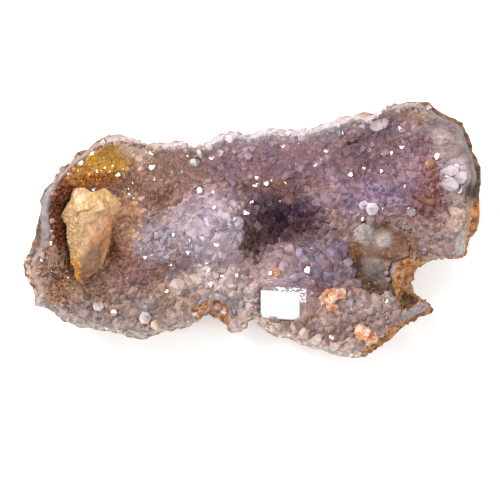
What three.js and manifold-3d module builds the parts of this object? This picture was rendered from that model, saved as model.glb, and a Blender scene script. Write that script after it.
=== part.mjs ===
// Amethyst cluster: a broken piece of a quartz geode that lies on its back.
//
// A dish of banded chalcedony in a rough brown rind carries one crust of amethyst points. A tan
// calcite crystal stands in the left hollow, and a small paper label is held on the front slope
// by a strip of clear tape.
//
// Millimetres, +Z up. X runs along the length and -Y is the front edge. The origin is in the middle
// of the piece, on the plane that its underside is ground flat to.

import * as THREE from "three";
import { ConvexGeometry } from "three/addons/geometries/ConvexGeometry.js";
import { mergeVertices } from "three/addons/utils/BufferGeometryUtils.js";
import Module from "manifold-3d";

const wasm = await Module();
wasm.setup();

// Driving dimensions

const FLOOR = 14; // height of the crystal floor at the middle of the dish
const BOWL_POWER = 2.2; // how late the floor turns up into the wall
const CRUST = 4.5; // thickness of the crystal crust on the wall of the dish
const CRUST_MIDDLE = 8; // and in its middle, without the mounds
const CRUST_FADE = 0.92; // share of the way out where the crust starts to thin
const GAP = 0.3; // clearance between neighbouring pieces
const MIDDLE = { x: 0, y: 3.5 }; // the point that every ring of the dish closes on
const RIM_SAMPLES = 1500; // steps of the rim's lookup table

// The rim, clockwise from the back left as seen from above. Each point is x, y, the height of the
// lip, the width of the broken edge outside the lip, and how far that edge falls to the outside.

const RIM_BACK = [
  [-62, 34, 41, 4, 3],
  [-57, 36.5, 43, 4, 3],
  [-45, 35.5, 42, 4, 3],
  [-42.5, 34, 41, 3.5, 3],
  [-34.5, 34, 40, 3.5, 3],
  [-26.5, 34.5, 40, 3, 2],
  [-23.5, 32.5, 38, 2.5, 2],
  [-18.5, 34, 38, 2, 2],
  [-10, 38, 39, 2, 2],
  [2, 38, 40, 2, 2],
  [6.5, 39.5, 41, 2, 2],
  [19, 39, 41, 2.5, 2],
  [30.5, 42, 42, 3, 2],
  [43, 45.5, 45, 4, 3],
  [49, 45.5, 46.5, 5, 3],
  [55.5, 49, 49, 6, 3],
  [67.5, 50, 50.8, 7, 4],
];
const RIM_RIGHT = [
  [74.5, 45.5, 50.2, 7, 5],
  [82.5, 41.5, 48, 7, 5],
  [85.5, 35.5, 46, 6, 5],
  [89.5, 22.5, 43, 5, 5],
  [89, 12.5, 40.5, 5, 5],
  [88, 0, 37, 6, 5],
  [85.5, -2.5, 35, 6, 5],
  [84.5, -8.5, 32, 6, 5],
  [82.5, -11, 30, 5, 5],
];
const RIM_SIDE_NOTCH = [
  [77.5, -10.5, 28, 4, 7],
  [71.5, -11, 26, 4, 8],
  [67, -14, 24, 6, 9],
  [64.5, -15.5, 23, 7.5, 9],
  [63.5, -19.5, 22, 8, 9],
  [63.5, -24, 22, 7, 8],
  [66.5, -26.8, 24, 6, 5],
  [70, -28.8, 26, 5, 3],
];
const RIM_FRONT_RIGHT = [
  [71.2, -31.5, 26, 5, 4],
  [66, -34, 26, 5, 5],
  [61, -37.5, 25, 5, 5],
  [55, -41.5, 24, 6, 5],
  [48.5, -47, 23, 6, 5],
  [43.5, -49.8, 22, 5, 4],
  [38.5, -50, 21, 3, 3],
  [30, -48, 20, 3, 3],
  [21.5, -45, 20, 2.5, 3],
  [14, -42.5, 20, 2.5, 3],
  [7.5, -40.5, 20, 2.5, 3],
];
const RIM_FRONT_NOTCH = [
  [0.5, -35, 20, 2.5, 4],
  [-2.5, -38, 19, 2.5, 4],
  [-7, -40.5, 18, 3, 5],
  [-9.7, -37, 19, 5, 7],
  [-13, -34.8, 21, 8, 10],
  [-17.5, -33.2, 21, 8, 10],
  [-22.5, -37, 19, 4, 6],
];
const RIM_FRONT_LEFT = [
  [-30.5, -38.5, 20, 3, 3],
  [-43, -42, 21, 3, 4],
  [-54, -40.5, 22, 3.5, 4],
  [-62, -39, 23, 3.5, 4],
  [-68, -37, 24, 4, 4],
  [-74.5, -35, 26, 4, 4],
  [-80.5, -30.5, 28, 4, 4],
  [-85, -29.5, 29, 4, 4],
];
const RIM_LEFT = [
  [-84.5, -25, 29, 4, 4],
  [-87, -20.5, 30, 4, 5],
  [-89.5, -13.5, 32, 4, 5],
  [-86.5, -7.5, 34, 5, 5],
  [-84, -2, 36, 5, 4],
  [-83, 7, 38, 5, 4],
  [-80.5, 15, 40, 5, 4],
  [-74.5, 23.5, 41, 5, 4],
  [-65.5, 31, 41, 4, 3],
];
const RIM = [
  ...RIM_BACK,
  ...RIM_RIGHT,
  ...RIM_SIDE_NOTCH,
  ...RIM_FRONT_RIGHT,
  ...RIM_FRONT_NOTCH,
  ...RIM_FRONT_LEFT,
  ...RIM_LEFT,
];

const COLUMNS = RIM.length; // steps round the dish, one at each point of the rim

// Swells and hollows of the crystal floor: middle, half-widths, turn in degrees and height.

const RELIEF = {
  paleMound: { x: -12, y: 1, across: 13, along: 15, turn: 20, height: 17 },
  paleMoundFlank: { x: -32, y: -6, across: 17, along: 11, turn: 25, height: 8 },
  pinkMound: { x: 18, y: -17, across: 21, along: 10, turn: 8, height: 9 },
  frontRightSwell: { x: 36, y: -31, across: 20, along: 9, turn: 20, height: 5 },
  darkPocket: { x: 12, y: 4, across: 15, along: 9, turn: -10, height: -7 },
  chalcedonyPocket: { x: 49, y: -9, across: 13, along: 14, turn: 0, height: -5 },
  leftHollow: { x: -71, y: 5, across: 9, along: 19, turn: 12, height: -9 },
  rightShelf: { x: 70, y: 20, across: 12, along: 12, turn: 0, height: 4 },
};

// Gentle ripples over the whole floor: length of the wave, its heading in degrees and its height.

const RIPPLES = [
  { length: 31, heading: 20, height: 0.9 },
  { length: 23, heading: 100, height: 0.8 },
  { length: 17, heading: 55, height: 0.6 },
];

// The outside, from the rim to the middle of the underside: share of the radius, share of the
// height of the edge. What reaches below the ground plane is cut away.

const SKIN = [
  [0.985, 0.86],
  [0.935, 0.72],
  [0.84, 0.54],
  [0.71, 0.36],
  [0.57, 0.21],
  [0.41, 0.08],
  [0.24, -0.05],
  [0, -0.1],
];
const RIND_RELIEF = 1.6; // how far the rind's lumps stand in or out
const MEAN_EDGE = 32; // height of the edge that the middle of the underside follows
const BRIDGE = 15; // degrees to each side over which a notch of the rim is bridged
const BRIDGE_EASE = 14; // and over which the bridge is eased

// Rings of the dish: up to 1 is the share of the way to the lip, past 1 the share across the
// broken edge, so 2 is the outline.

const RINGS = [0, 0.36, 0.62, 0.8, 0.91, 1, 1.5, 2];
const BROKEN_EDGE_RELIEF = 0.7;

// Chalcedony lumps in the bare pocket at the right: x, y and radius.

const LUMPS = [
  [43, 0, 6],
  [53, 1.5, 7],
  [39.5, -7.5, 5],
  [48, -8, 7.5],
  [57.5, -6.5, 6],
  [63, -1, 6],
  [44, -15.5, 6],
  [52.5, -16.5, 6.5],
  [64.5, -8, 4.5],
  [49, -23, 5],
];
const LUMP_RISE = -2.6; // height of a lump's centre over the floor
const POCKET = { x: 50.5, y: -8.5, across: 14, along: 14.5 };

// The druse, a carpet of small quartz points: each is a six-sided pyramid on a triangular lattice
// that is bent and shaken out of line.

const DRUSE_SEED = 41;
const DRUSE_EDGE = 3.5; // side of the lattice, the radius of a small point
const DRUSE_TIP = 2.3; // how far a tip stands over the floor
const DRUSE_ROOT = 1.2; // how far the joints between points lie under the floor
const DRUSE_SHAKE = 0.3; // sideways disorder as a share of the side
const DRUSE_BEND = 4.5; // how far the lattice is bent out of line
const DRUSE_REACH = 0.95; // share of the way to the lip where the points start to end
const DRUSE_SINK = 3; // how far under the floor the druse has sunk at its end

// Larger quartz points: x, y, radius, height of the shoulder over the floor, and the tip's lean in
// x and y. A tip is a six-sided pyramid on a prism.

const POINT_SEED = 7;
const POINT_ROOT = 4;
const PYRAMID_RISE = 1.1; // height of the pyramid as a share of its radius
const POINTS = [
  [74, 21, 5.2, 2, 0.1, 0.1],
  [80, 23.5, 4.2, 1.5, 0.2, 0.1],
  [70, 26.5, 4.2, 1.5, -0.1, 0.3],
  [76, 15, 4.0, 1.5, 0.3, -0.2],
  [79.5, 30.5, 4.0, 0.8, 0.2, 0.2],
  [67, 18, 3.6, 1, -0.3, 0],
  [73, 32, 4.0, 1, 0, 0.2],
  [80, 9, 3.6, 1, 0.2, 0],
  [-28.5, -23, 4.6, 2.5, 0.1, -0.2],
  [-34, -27, 3.6, 1.5, -0.2, -0.2],
  [-23, -27.5, 3.8, 1.5, 0.2, 0],
  [-42, -30, 3.8, 1.5, 0, -0.2],
  [-50, -32, 3.6, 1, -0.1, -0.2],
  [-13, -24, 4.2, 2, 0.1, -0.2],
  [-6, -28, 3.8, 1.5, 0.2, -0.2],
  [-3, -20, 3.6, 1.2, 0.1, 0.1],
  [-14, 3, 4.4, 1.5, 0, 0],
  [-20, 8, 3.8, 1.2, -0.2, 0.2],
  [-8, 9, 3.8, 1, 0.2, 0.1],
  [-7, -4, 3.8, 1.2, 0.2, -0.1],
  [-18, -5, 4.0, 1, -0.1, -0.1],
  [-28, 2, 3.6, 1, 0, 0.1],
  [-36, -9, 3.8, 1.2, -0.1, 0],
  [-43, 1, 3.6, 1, -0.1, 0.2],
  [8, -18, 4.0, 1, -0.1, 0],
  [17, -16, 4.2, 1.2, 0.1, 0.1],
  [26, -14, 3.8, 1, 0.2, 0.1],
  [24, -24, 3.6, 1.2, 0.1, -0.2],
  [34, -19, 3.6, 1.5, 0.2, 0],
  [5, 18, 4.0, 1, 0, 0.1],
  [20, 21, 3.8, 1, 0.1, 0],
  [33, 14, 3.6, 1, 0.1, 0],
  [42, 24, 4.2, 1.2, 0, 0.2],
  [54, 22, 3.8, 1, 0.2, 0.2],
  [60, 34, 4.0, 1.5, 0, 0.3],
  [50, 36, 3.6, 1.2, -0.1, 0.2],
  [-2, 27, 3.6, 1, 0, 0.1],
  [-28, 20, 3.8, 1, 0, 0.1],
  [-44, 20, 3.6, 1, -0.1, 0.2],
  [36, -38, 3.8, 1.5, 0.1, -0.2],
  [52, -34, 3.8, 1.2, 0.2, -0.1],
  [26, -38, 3.4, 1.2, -0.1, -0.1],
  [61, -31, 3.4, 1, 0.3, 0],
];

// Orange spar among the points on the front right: place, size and turn in degrees.

const SPAR = [
  { x: 30, y: -26, size: [6, 5, 7], turn: [20, 15, 30] },
  { x: 33.5, y: -23.5, size: [5, 4, 6], turn: [-15, 25, 10] },
  { x: 43.5, y: -40.5, size: [7.5, 6, 7], turn: [12, -10, -35] },
];

// The calcite crystal: a broken dog-tooth, as the corners of its main body, of the knob on its
// left and of the plate across its broken head.

const CALCITE_BODY = [
  [-69, 15.5, 27],
  [-62, 17, 30],
  [-57.5, 16.3, 31],
  [-50.3, 10, 29],
  [-53, 6, 29],
  [-54.5, 0.5, 28],
  [-57.5, -8, 26],
  [-61.5, -14.5, 24],
  [-67.8, -20.3, 22],
  [-70, -12, 25],
  [-72.3, 0, 28],
  [-71.5, 10, 30],
  [-66, 11, 38],
  [-58.5, 9, 39],
  [-62.5, 1, 39.5],
  [-65, -7, 34],
  [-66, 10, 11],
  [-57, 9, 11],
  [-58, -4, 13],
  [-65, -10, 14],
];
const CALCITE_KNOB = [
  [-75.2, 7, 29],
  [-73.5, 9.8, 31],
  [-72.5, 2, 28],
  [-69.5, 11, 33],
  [-69, 3, 34],
  [-71, 5, 24],
  [-69, 8, 24],
];
const CALCITE_PLATE = [
  [-68.5, 14.6, 34],
  [-61.5, 15.8, 36.5],
  [-57, 15.3, 36.5],
  [-51.5, 9.6, 34],
  [-57, 8, 40.5],
  [-64, 12, 40],
  [-60, 10, 20],
  [-66, 11, 22],
];
const CALCITE_SOCKET = 1.035; // how much larger the socket in the crust is

// The paper label and the clear tape over it.

const LABEL = { x: 11.9, y: -28, width: 15.4, depth: 11.8, thick: 0.4, turn: -2 };
const TAPE = { shiftX: 1.7, shiftY: 1.2, width: 17.6, depth: 14, thick: 0.3 };
const LABEL_LIFT = 3.4; // how high the label stands over the crust's floor
const LABEL_SETTLE = 30; // height of the space kept clear over the label

// Colours, with roughness

const FINISH = {
  shell: { color: 0x9a7f6c, roughness: 0.75 },
  druse: { color: 0x8d7187, roughness: 0.2 },
  calcite: { color: 0xd0a878, roughness: 0.55 },
  label: { color: 0xf2f1f4, roughness: 0.6 },
  tape: { color: 0xe9ecee, roughness: 0.15, transparent: true, opacity: 0.25 },
};

const { clamp, degToRad, lerp, smoothstep } = THREE.MathUtils;

// A repeatable stream of numbers from 0 to 1.
function numbers(seed) {
  let state = seed;
  return () => {
    state = (state * 1664525 + 1013904223) % 4294967296;
    return state / 4294967296;
  };
}

// A closed geometry as a solid that can be joined and cut.
function solidOf(geometry) {
  const bare = geometry.clone();
  bare.deleteAttribute("normal");
  bare.deleteAttribute("uv");
  const merged = mergeVertices(bare, 1e-4);
  return new wasm.Manifold(
    new wasm.Mesh({
      numProp: 3,
      vertProperties: new Float32Array(merged.attributes.position.array),
      triVerts: new Uint32Array(merged.index.array),
    }),
  );
}

function geometryOf(solid) {
  const mesh = solid.getMesh();
  const geometry = new THREE.BufferGeometry();
  geometry.setAttribute("position", new THREE.BufferAttribute(mesh.vertProperties, 3));
  geometry.setIndex(new THREE.BufferAttribute(mesh.triVerts, 1));
  const faceted = geometry.toNonIndexed();
  faceted.computeVertexNormals();
  return faceted;
}

// The one connected body that holds nearly all of a solid, without crumbs that a cut leaves.
function largestBody(solid) {
  return solid.decompose().reduce((a, b) => (a.volume() > b.volume() ? a : b));
}

// The rim as a closed curve, with the width and fall of its broken edge read along with it.
const rimCurve = new THREE.CatmullRomCurve3(
  RIM.map(([x, y, lip]) => new THREE.Vector3(x, y, lip)),
  true,
  "centripetal",
);

function rimPoint(t) {
  const place = rimCurve.getPoint(t);
  const index = Math.floor(t * RIM.length) % RIM.length;
  const next = (index + 1) % RIM.length;
  const share = t * RIM.length - Math.floor(t * RIM.length);
  const dx = place.x - MIDDLE.x;
  const dy = place.y - MIDDLE.y;
  return {
    angle: Math.atan2(dy, dx),
    radius: Math.hypot(dx, dy),
    lip: place.z,
    edge: lerp(RIM[index][3], RIM[next][3], share),
    fall: lerp(RIM[index][4], RIM[next][4], share),
  };
}

const rimTable = Array.from({ length: RIM_SAMPLES }, (_, i) => rimPoint(i / RIM_SAMPLES)).sort(
  (a, b) => a.angle - b.angle,
);

// The rim in a direction from the middle of the dish.
function rimAt(direction) {
  const angle = direction - 2 * Math.PI * Math.round(direction / (2 * Math.PI));
  let low = 0;
  let high = rimTable.length - 1;
  while (high - low > 1) {
    const half = (low + high) >> 1;
    if (rimTable[half].angle < angle) low = half;
    else high = half;
  }
  const a = rimTable[low];
  const b = rimTable[high];
  const share = clamp((angle - a.angle) / (b.angle - a.angle || 1), 0, 1);
  return {
    radius: lerp(a.radius, b.radius, share),
    lip: lerp(a.lip, b.lip, share),
    edge: lerp(a.edge, b.edge, share),
    fall: lerp(a.fall, b.fall, share),
  };
}

// A rounded swell that is 1 in its middle and fades to 0 outside.
function swell({ x: cx, y: cy, across, along, turn = 0 }, x, y) {
  const a = degToRad(turn);
  const u = ((x - cx) * Math.cos(a) + (y - cy) * Math.sin(a)) / across;
  const v = ((y - cy) * Math.cos(a) - (x - cx) * Math.sin(a)) / along;
  return Math.exp(-((u * u + v * v) ** 1.4));
}

function ripple({ length, heading, height }, x, y) {
  const a = degToRad(heading);
  const along = x * Math.cos(a) + y * Math.sin(a);
  return height * Math.sin((2 * Math.PI * along) / length);
}

// Roughness of broken stone: a few crossed waves, from -1 to 1.
function roughness(x, y, z) {
  return (
    (Math.sin(0.61 * x + 0.37 * z + 1.1) * Math.sin(0.53 * y - 0.29 * x + 0.4) +
      Math.sin(0.97 * y + 0.71 * z + 2.3) * Math.sin(0.83 * x - 0.57 * z)) /
    2
  );
}

// Height of the crystal floor and of the broken edge, and the share of the way to the lip.
function floorAt(x, y) {
  const dx = x - MIDDLE.x;
  const dy = y - MIDDLE.y;
  const rim = rimAt(Math.atan2(dy, dx));
  const reach = Math.hypot(dx, dy);
  const inner = rim.radius - rim.edge;
  const out = reach / inner;
  if (out >= 1) {
    const across = clamp((reach - inner) / rim.edge, 0, 1);
    const rough = BROKEN_EDGE_RELIEF * roughness(1.7 * x, 1.7 * y, 0) * Math.sin(Math.PI * across);
    return { z: rim.lip - rim.fall * across ** 1.4 + rough, out };
  }
  const fade = 1 - smoothstep(out, 0.8, 1);
  const share = (keep) => (sum, r) => sum + (keep(r) ? fade * r.height * swell(r, x, y) : 0);
  const bowl = lerp(FLOOR, rim.lip, out ** BOWL_POWER);
  const hollows = Object.values(RELIEF).reduce(share((r) => r.height < 0), 0);
  const mounds = Object.values(RELIEF).reduce(share((r) => r.height > 0), 0);
  const waves = RIPPLES.reduce((sum, r) => sum + fade * ripple(r, x, y), 0);
  return { z: bowl + hollows + mounds + waves, out, bowl, hollows };
}

// 1 in the bare pocket at the right, 0 where the crystals grow.
function bareness(x, y) {
  return smoothstep(swell(POCKET, x, y), 0.3, 0.6);
}

// The dish under the crust: the crystal floor without its mounds and ripples, lowered by the crust,
// which is none outside the lip and in the bare pocket.
function dishAt(x, y) {
  const { z, out, bowl, hollows } = floorAt(x, y);
  const grown = (1 - smoothstep(out, CRUST_FADE, 1)) * (1 - bareness(x, y));
  const depth = lerp(CRUST_MIDDLE, CRUST, Math.min(1, out));
  return out >= 1 ? z : lerp(z, bowl + hollows - depth, grown);
}

// A sphere whose upper half is laid on one surface and whose lower half is laid on another.
function dishSolid(upperRings, upperHeight, lowerCount, lowerPlace) {
  const rows = upperRings.length - 1 + lowerCount;
  const ball = new THREE.SphereGeometry(1, COLUMNS, rows);
  const position = ball.getAttribute("position");
  for (let row = 0; row <= rows; row++) {
    for (let column = 0; column <= COLUMNS; column++) {
      const rim = rimPoint(((COLUMNS - column) % COLUMNS) / COLUMNS);
      const inner = rim.radius - rim.edge;
      const place = (reach, height) => {
        const x = MIDDLE.x + reach * Math.cos(rim.angle);
        const y = MIDDLE.y + reach * Math.sin(rim.angle);
        return [x, y, height(x, y)];
      };
      const ring = upperRings[row];
      let spot;
      if (row >= upperRings.length) {
        spot = lowerPlace(row - upperRings.length, rim, place);
      } else {
        const reach = ring <= 1 ? ring * inner : inner + (ring - 1) * rim.edge;
        spot = place(reach, upperHeight);
      }
      position.setXYZ(row * (COLUMNS + 1) + column, ...spot);
    }
  }
  return solidOf(ball);
}

// Turns to both sides of a direction.
function fan(half, count) {
  return Array.from({ length: count }, (_, i) => degToRad(lerp(-half, half, i / (count - 1))));
}

// The rim with its notches bridged: in each direction the least of the largest values nearby,
// eased so that the rind under a notch runs on smoothly.
function bridgedRim(angle, value) {
  const largest = (at) => Math.max(...fan(BRIDGE, 9).map((turn) => value(rimAt(at + turn))));
  const closed = (at) => Math.min(...fan(BRIDGE, 9).map((turn) => largest(at + turn)));
  const turns = fan(BRIDGE_EASE, 7);
  return turns.reduce((sum, turn) => sum + closed(angle + turn), 0) / turns.length;
}

// Height of the outside at a share of the bridged radius, as a share of the height of the edge.
function skinHeight(share) {
  const row = clamp(SKIN.findIndex((step) => step[0] <= share), 1, SKIN.length - 1);
  const [outer, high] = SKIN[row - 1];
  const [inner, low] = SKIN[row];
  return lerp(low, high, clamp((share - inner) / (outer - inner), 0, 1));
}

// The outside of the dish: a rough rind that curves in to the ground. Under a notch it starts
// further in, as if a bite had been taken out of it.
function rindPlace(row, rim, place) {
  const radius = bridgedRim(rim.angle, (at) => at.radius);
  const reach = Math.min(SKIN[row][0] * radius, rim.radius - 0.4 * (row + 1));
  const share = Math.max(0, reach / radius);
  const bridgedEdge = bridgedRim(rim.angle, (at) => at.lip - at.fall);
  const edge = lerp(MEAN_EDGE, bridgedEdge, Math.min(1, 2 * share));
  const height = Math.min(edge * skinHeight(share), rim.lip - rim.fall - 1.5 * (row + 1));
  const rough = roughness(reach * Math.cos(rim.angle), reach * Math.sin(rim.angle), 9 * row);
  const fade = smoothstep(share, 0.2, 0.6) * RIND_RELIEF;
  return place(reach * (1 + (0.6 * fade * rough) / 50), () => height + fade * rough);
}

// A wall that drops from the outline to a flat bottom, which may be wider.
function levelPlace(level, share = 1) {
  return (row, rim, place) => place(row === 0 ? share * rim.radius : 0, () => level);
}

function block(width, depth, height, x, y, z) {
  return solidOf(new THREE.BoxGeometry(width, depth, height).translate(x, y, z));
}

// The chalcedony lumps, each a ball sunk in the floor of the pocket.
function lumps(grow) {
  return LUMPS.map(([x, y, radius]) => {
    const z = floorAt(x, y).z + LUMP_RISE;
    const ball = new THREE.SphereGeometry(radius + grow, 10, 8).rotateX(degToRad(90));
    return solidOf(ball.scale(1, 1, 0.75).translate(x, y, z));
  });
}

function geodeShell() {
  const dish = dishSolid(RINGS, dishAt, SKIN.length, rindPlace);
  const ground = block(400, 400, 60, 0, 0, -30);
  return lumps(0).reduce((joined, lump) => joined.add(lump), dish).subtract(ground);
}

// One quartz point along +Z with its shoulder at 0: a six-sided prism with a pyramid on it.
function quartzPoint(radius, shoulder) {
  const profile = [
    new THREE.Vector2(0, -POINT_ROOT),
    new THREE.Vector2(radius, -POINT_ROOT),
    new THREE.Vector2(radius, shoulder),
    new THREE.Vector2(0, shoulder + PYRAMID_RISE * radius),
  ];
  return new THREE.LatheGeometry(profile, 6).rotateX(degToRad(90));
}

// The way the floor faces, leaning towards straight up.
function facing(x, y) {
  const step = 1.5;
  const slopeX = (floorAt(x + step, y).z - floorAt(x - step, y).z) / (2 * step);
  const slopeY = (floorAt(x, y + step).z - floorAt(x, y - step).z) / (2 * step);
  return new THREE.Vector3(-slopeX, -slopeY, 1).normalize().add(new THREE.Vector3(0, 0, 0.5));
}

function quartzPoints() {
  const random = numbers(POINT_SEED);
  const up = new THREE.Vector3(0, 0, 1);
  return POINTS.map(([x, y, radius, shoulder, leanX, leanY]) => {
    const axis = facing(x, y).add(new THREE.Vector3(leanX, leanY, 0)).normalize();
    const point = quartzPoint(radius, shoulder).rotateZ(degToRad(60) * random());
    const turn = new THREE.Quaternion().setFromUnitVectors(up, axis);
    return solidOf(point.applyQuaternion(turn).translate(x, y, floorAt(x, y).z));
  });
}

// A corner of the druse: every third one is a tip, so each tip has six joints round it.
function druseCorner(column, row, random) {
  const flatX = DRUSE_EDGE * (column - row / 2);
  const flatY = DRUSE_EDGE * Math.sqrt(0.75) * row;
  const shake = () => DRUSE_EDGE * DRUSE_SHAKE * (2 * random() - 1);
  const x = flatX + DRUSE_BEND * Math.sin(flatY / 13 + flatX / 31) + shake();
  const y = flatY + DRUSE_BEND * Math.sin(flatX / 15 - flatY / 37) + shake();
  const { z, out } = floorAt(x, y);
  const end = Math.max(smoothstep(out, DRUSE_REACH, 1), bareness(x, y));
  const tip = DRUSE_TIP * lerp(0.55, 1.35, random());
  const root = -DRUSE_ROOT * lerp(0.5, 1.5, random());
  const isTip = (((column + row) % 3) + 3) % 3 === 0;
  const rise = lerp(isTip ? tip : root, -DRUSE_SINK, end);
  return new THREE.Vector3(x, y, z).addScaledVector(facing(x, y), rise);
}

// The carpet of points as a deep block, its top laid on the crystal floor.
function druse() {
  const random = numbers(DRUSE_SEED);
  const across = Math.ceil(160 / DRUSE_EDGE);
  const along = Math.ceil(64 / DRUSE_EDGE);
  const grid = new THREE.BoxGeometry(2 * across, 2 * along, 2, 2 * across, 2 * along, 1);
  const position = grid.getAttribute("position");
  const corners = new Map();
  for (let i = 0; i < position.count; i++) {
    const column = Math.round(position.getX(i));
    const row = Math.round(position.getY(i));
    const top = position.getZ(i) > 0;
    const key = `${column} ${row}`;
    if (!corners.has(key)) corners.set(key, druseCorner(column, row, random));
    const { x, y, z } = corners.get(key);
    position.setXYZ(i, x, y, top ? z : -40);
  }
  return solidOf(grid);
}

function orangeSpar() {
  return SPAR.map(({ x, y, size, turn }) => {
    const [a, b, c] = turn.map(degToRad);
    const crystal = new THREE.BoxGeometry(...size).rotateX(a).rotateY(b).rotateZ(c);
    return solidOf(crystal.translate(x, y, floorAt(x, y).z + 0.5));
  });
}

// The calcite as if it were whole, or the socket for it where it is grown.
function calciteHull(grow) {
  return [CALCITE_BODY, CALCITE_KNOB, CALCITE_PLATE]
    .map((corners) => {
      const points = corners.map((corner) => new THREE.Vector3(...corner));
      const heart = points.reduce((sum, p) => sum.add(p), new THREE.Vector3());
      heart.divideScalar(points.length);
      return solidOf(new ConvexGeometry(points.map((p) => p.sub(heart).multiplyScalar(grow).add(heart))));
    })
    .reduce((joined, piece) => joined.add(piece));
}

// A thin slab that lies on the front slope, its underside at a height over the label's own.
function slab(width, depth, thick, shiftX, shiftY, lift) {
  const { x, y, turn } = LABEL;
  const axis = facing(x, y).normalize();
  const tilt = new THREE.Quaternion().setFromUnitVectors(new THREE.Vector3(0, 0, 1), axis);
  const flat = new THREE.BoxGeometry(width, depth, thick).translate(shiftX, shiftY, lift + thick / 2);
  flat.rotateZ(degToRad(turn)).applyQuaternion(tilt);
  return solidOf(flat.translate(x, y, floorAt(x, y).z).translate(...axis.multiplyScalar(LABEL_LIFT)));
}

function paperLabel() {
  return slab(LABEL.width, LABEL.depth, LABEL.thick, 0, 0, 0);
}

function clearTape() {
  return slab(TAPE.width, TAPE.depth, TAPE.thick, TAPE.shiftX, TAPE.shiftY, LABEL.thick + GAP);
}

// The room that the label and the tape press clear among the points.
function labelSpace() {
  const under = slab(LABEL.width + 1, LABEL.depth + 1, LABEL_SETTLE, 0, 0, -GAP);
  return under.add(slab(TAPE.width + 1, TAPE.depth + 1, LABEL_SETTLE, TAPE.shiftX, TAPE.shiftY, -GAP));
}

// The room under the crust: everything below the dish's surface.
function underCrust() {
  return dishSolid(RINGS, (x, y) => dishAt(x, y) + GAP, 2, levelPlace(-60, 1.05));
}

function calciteCrystal() {
  return largestBody(calciteHull(1).subtract(underCrust()));
}

function amethystCrust() {
  const outline = dishSolid([0, 2], () => 90, 2, levelPlace(-20));
  const grown = [...quartzPoints(), ...orangeSpar()].reduce((joined, p) => joined.add(p), druse());
  const trimmed = grown.intersect(outline).subtract(underCrust());
  const onDish = lumps(GAP).reduce((cut, lump) => cut.subtract(lump), trimmed);
  return largestBody(onDish.subtract(calciteHull(CALCITE_SOCKET)).subtract(labelSpace()));
}


function piece(name, solid, finish) {
  const mesh = new THREE.Mesh(geometryOf(solid), new THREE.MeshStandardMaterial({ ...finish, metalness: 0 }));
  mesh.name = name;
  return mesh;
}

const cluster = new THREE.Group();
cluster.add(
  piece("geode_shell", geodeShell(), FINISH.shell),
  piece("amethyst_crust", amethystCrust(), FINISH.druse),
  piece("calcite_crystal", calciteCrystal(), FINISH.calcite),
  piece("paper_label", paperLabel(), FINISH.label),
  piece("clear_tape", clearTape(), FINISH.tape),
);

export default cluster;
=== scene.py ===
# The looks of an amethyst cluster: a piece of a quartz geode that lies on its back, lined with
# mauve to pale lilac quartz points. A tan calcite crystal stands in its left hollow.
#
# Lengths in the tables are millimetres in the part's own frame: X along the length, -Y the front
# edge, +Z up. A finished mesh is scaled to metres when its object is made.

import math
import random

import bmesh
import bpy
import numpy as np
from bpy.props import FloatProperty, FloatVectorProperty, IntProperty, PointerProperty
from mathutils import Matrix, Vector, geometry, noise


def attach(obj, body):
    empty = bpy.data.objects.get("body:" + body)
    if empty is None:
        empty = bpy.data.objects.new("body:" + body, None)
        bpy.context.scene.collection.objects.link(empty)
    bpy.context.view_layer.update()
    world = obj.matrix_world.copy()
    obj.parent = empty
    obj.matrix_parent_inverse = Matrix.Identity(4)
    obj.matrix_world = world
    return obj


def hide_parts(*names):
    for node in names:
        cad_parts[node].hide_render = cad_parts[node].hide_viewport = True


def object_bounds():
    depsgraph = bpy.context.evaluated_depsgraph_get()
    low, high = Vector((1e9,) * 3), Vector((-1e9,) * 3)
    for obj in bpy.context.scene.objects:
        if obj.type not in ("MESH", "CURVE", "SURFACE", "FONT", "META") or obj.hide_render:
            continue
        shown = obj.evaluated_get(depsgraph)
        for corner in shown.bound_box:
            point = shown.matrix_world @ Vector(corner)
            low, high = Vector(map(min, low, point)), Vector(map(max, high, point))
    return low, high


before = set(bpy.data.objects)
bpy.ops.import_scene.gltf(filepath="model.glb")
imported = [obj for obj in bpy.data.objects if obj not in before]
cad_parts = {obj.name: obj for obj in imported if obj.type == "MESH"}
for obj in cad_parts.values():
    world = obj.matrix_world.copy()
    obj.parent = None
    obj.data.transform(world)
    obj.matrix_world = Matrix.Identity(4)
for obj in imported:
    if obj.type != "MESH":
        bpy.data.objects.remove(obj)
CAD_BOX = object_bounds()

bl_info = {
    "name": "Amethyst Cluster",
    "version": (1, 0, 0),
    "blender": (4, 5, 0),
    "location": "View3D > Sidebar > Cluster",
    "description": "Builds a piece of an amethyst geode with its calcite crystal",
    "category": "Add Mesh",
}

MM = 0.001

# The rim, clockwise from the back left: x, y, height of the lip, width of the broken edge outside
# the lip, and how far that edge falls.

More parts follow.
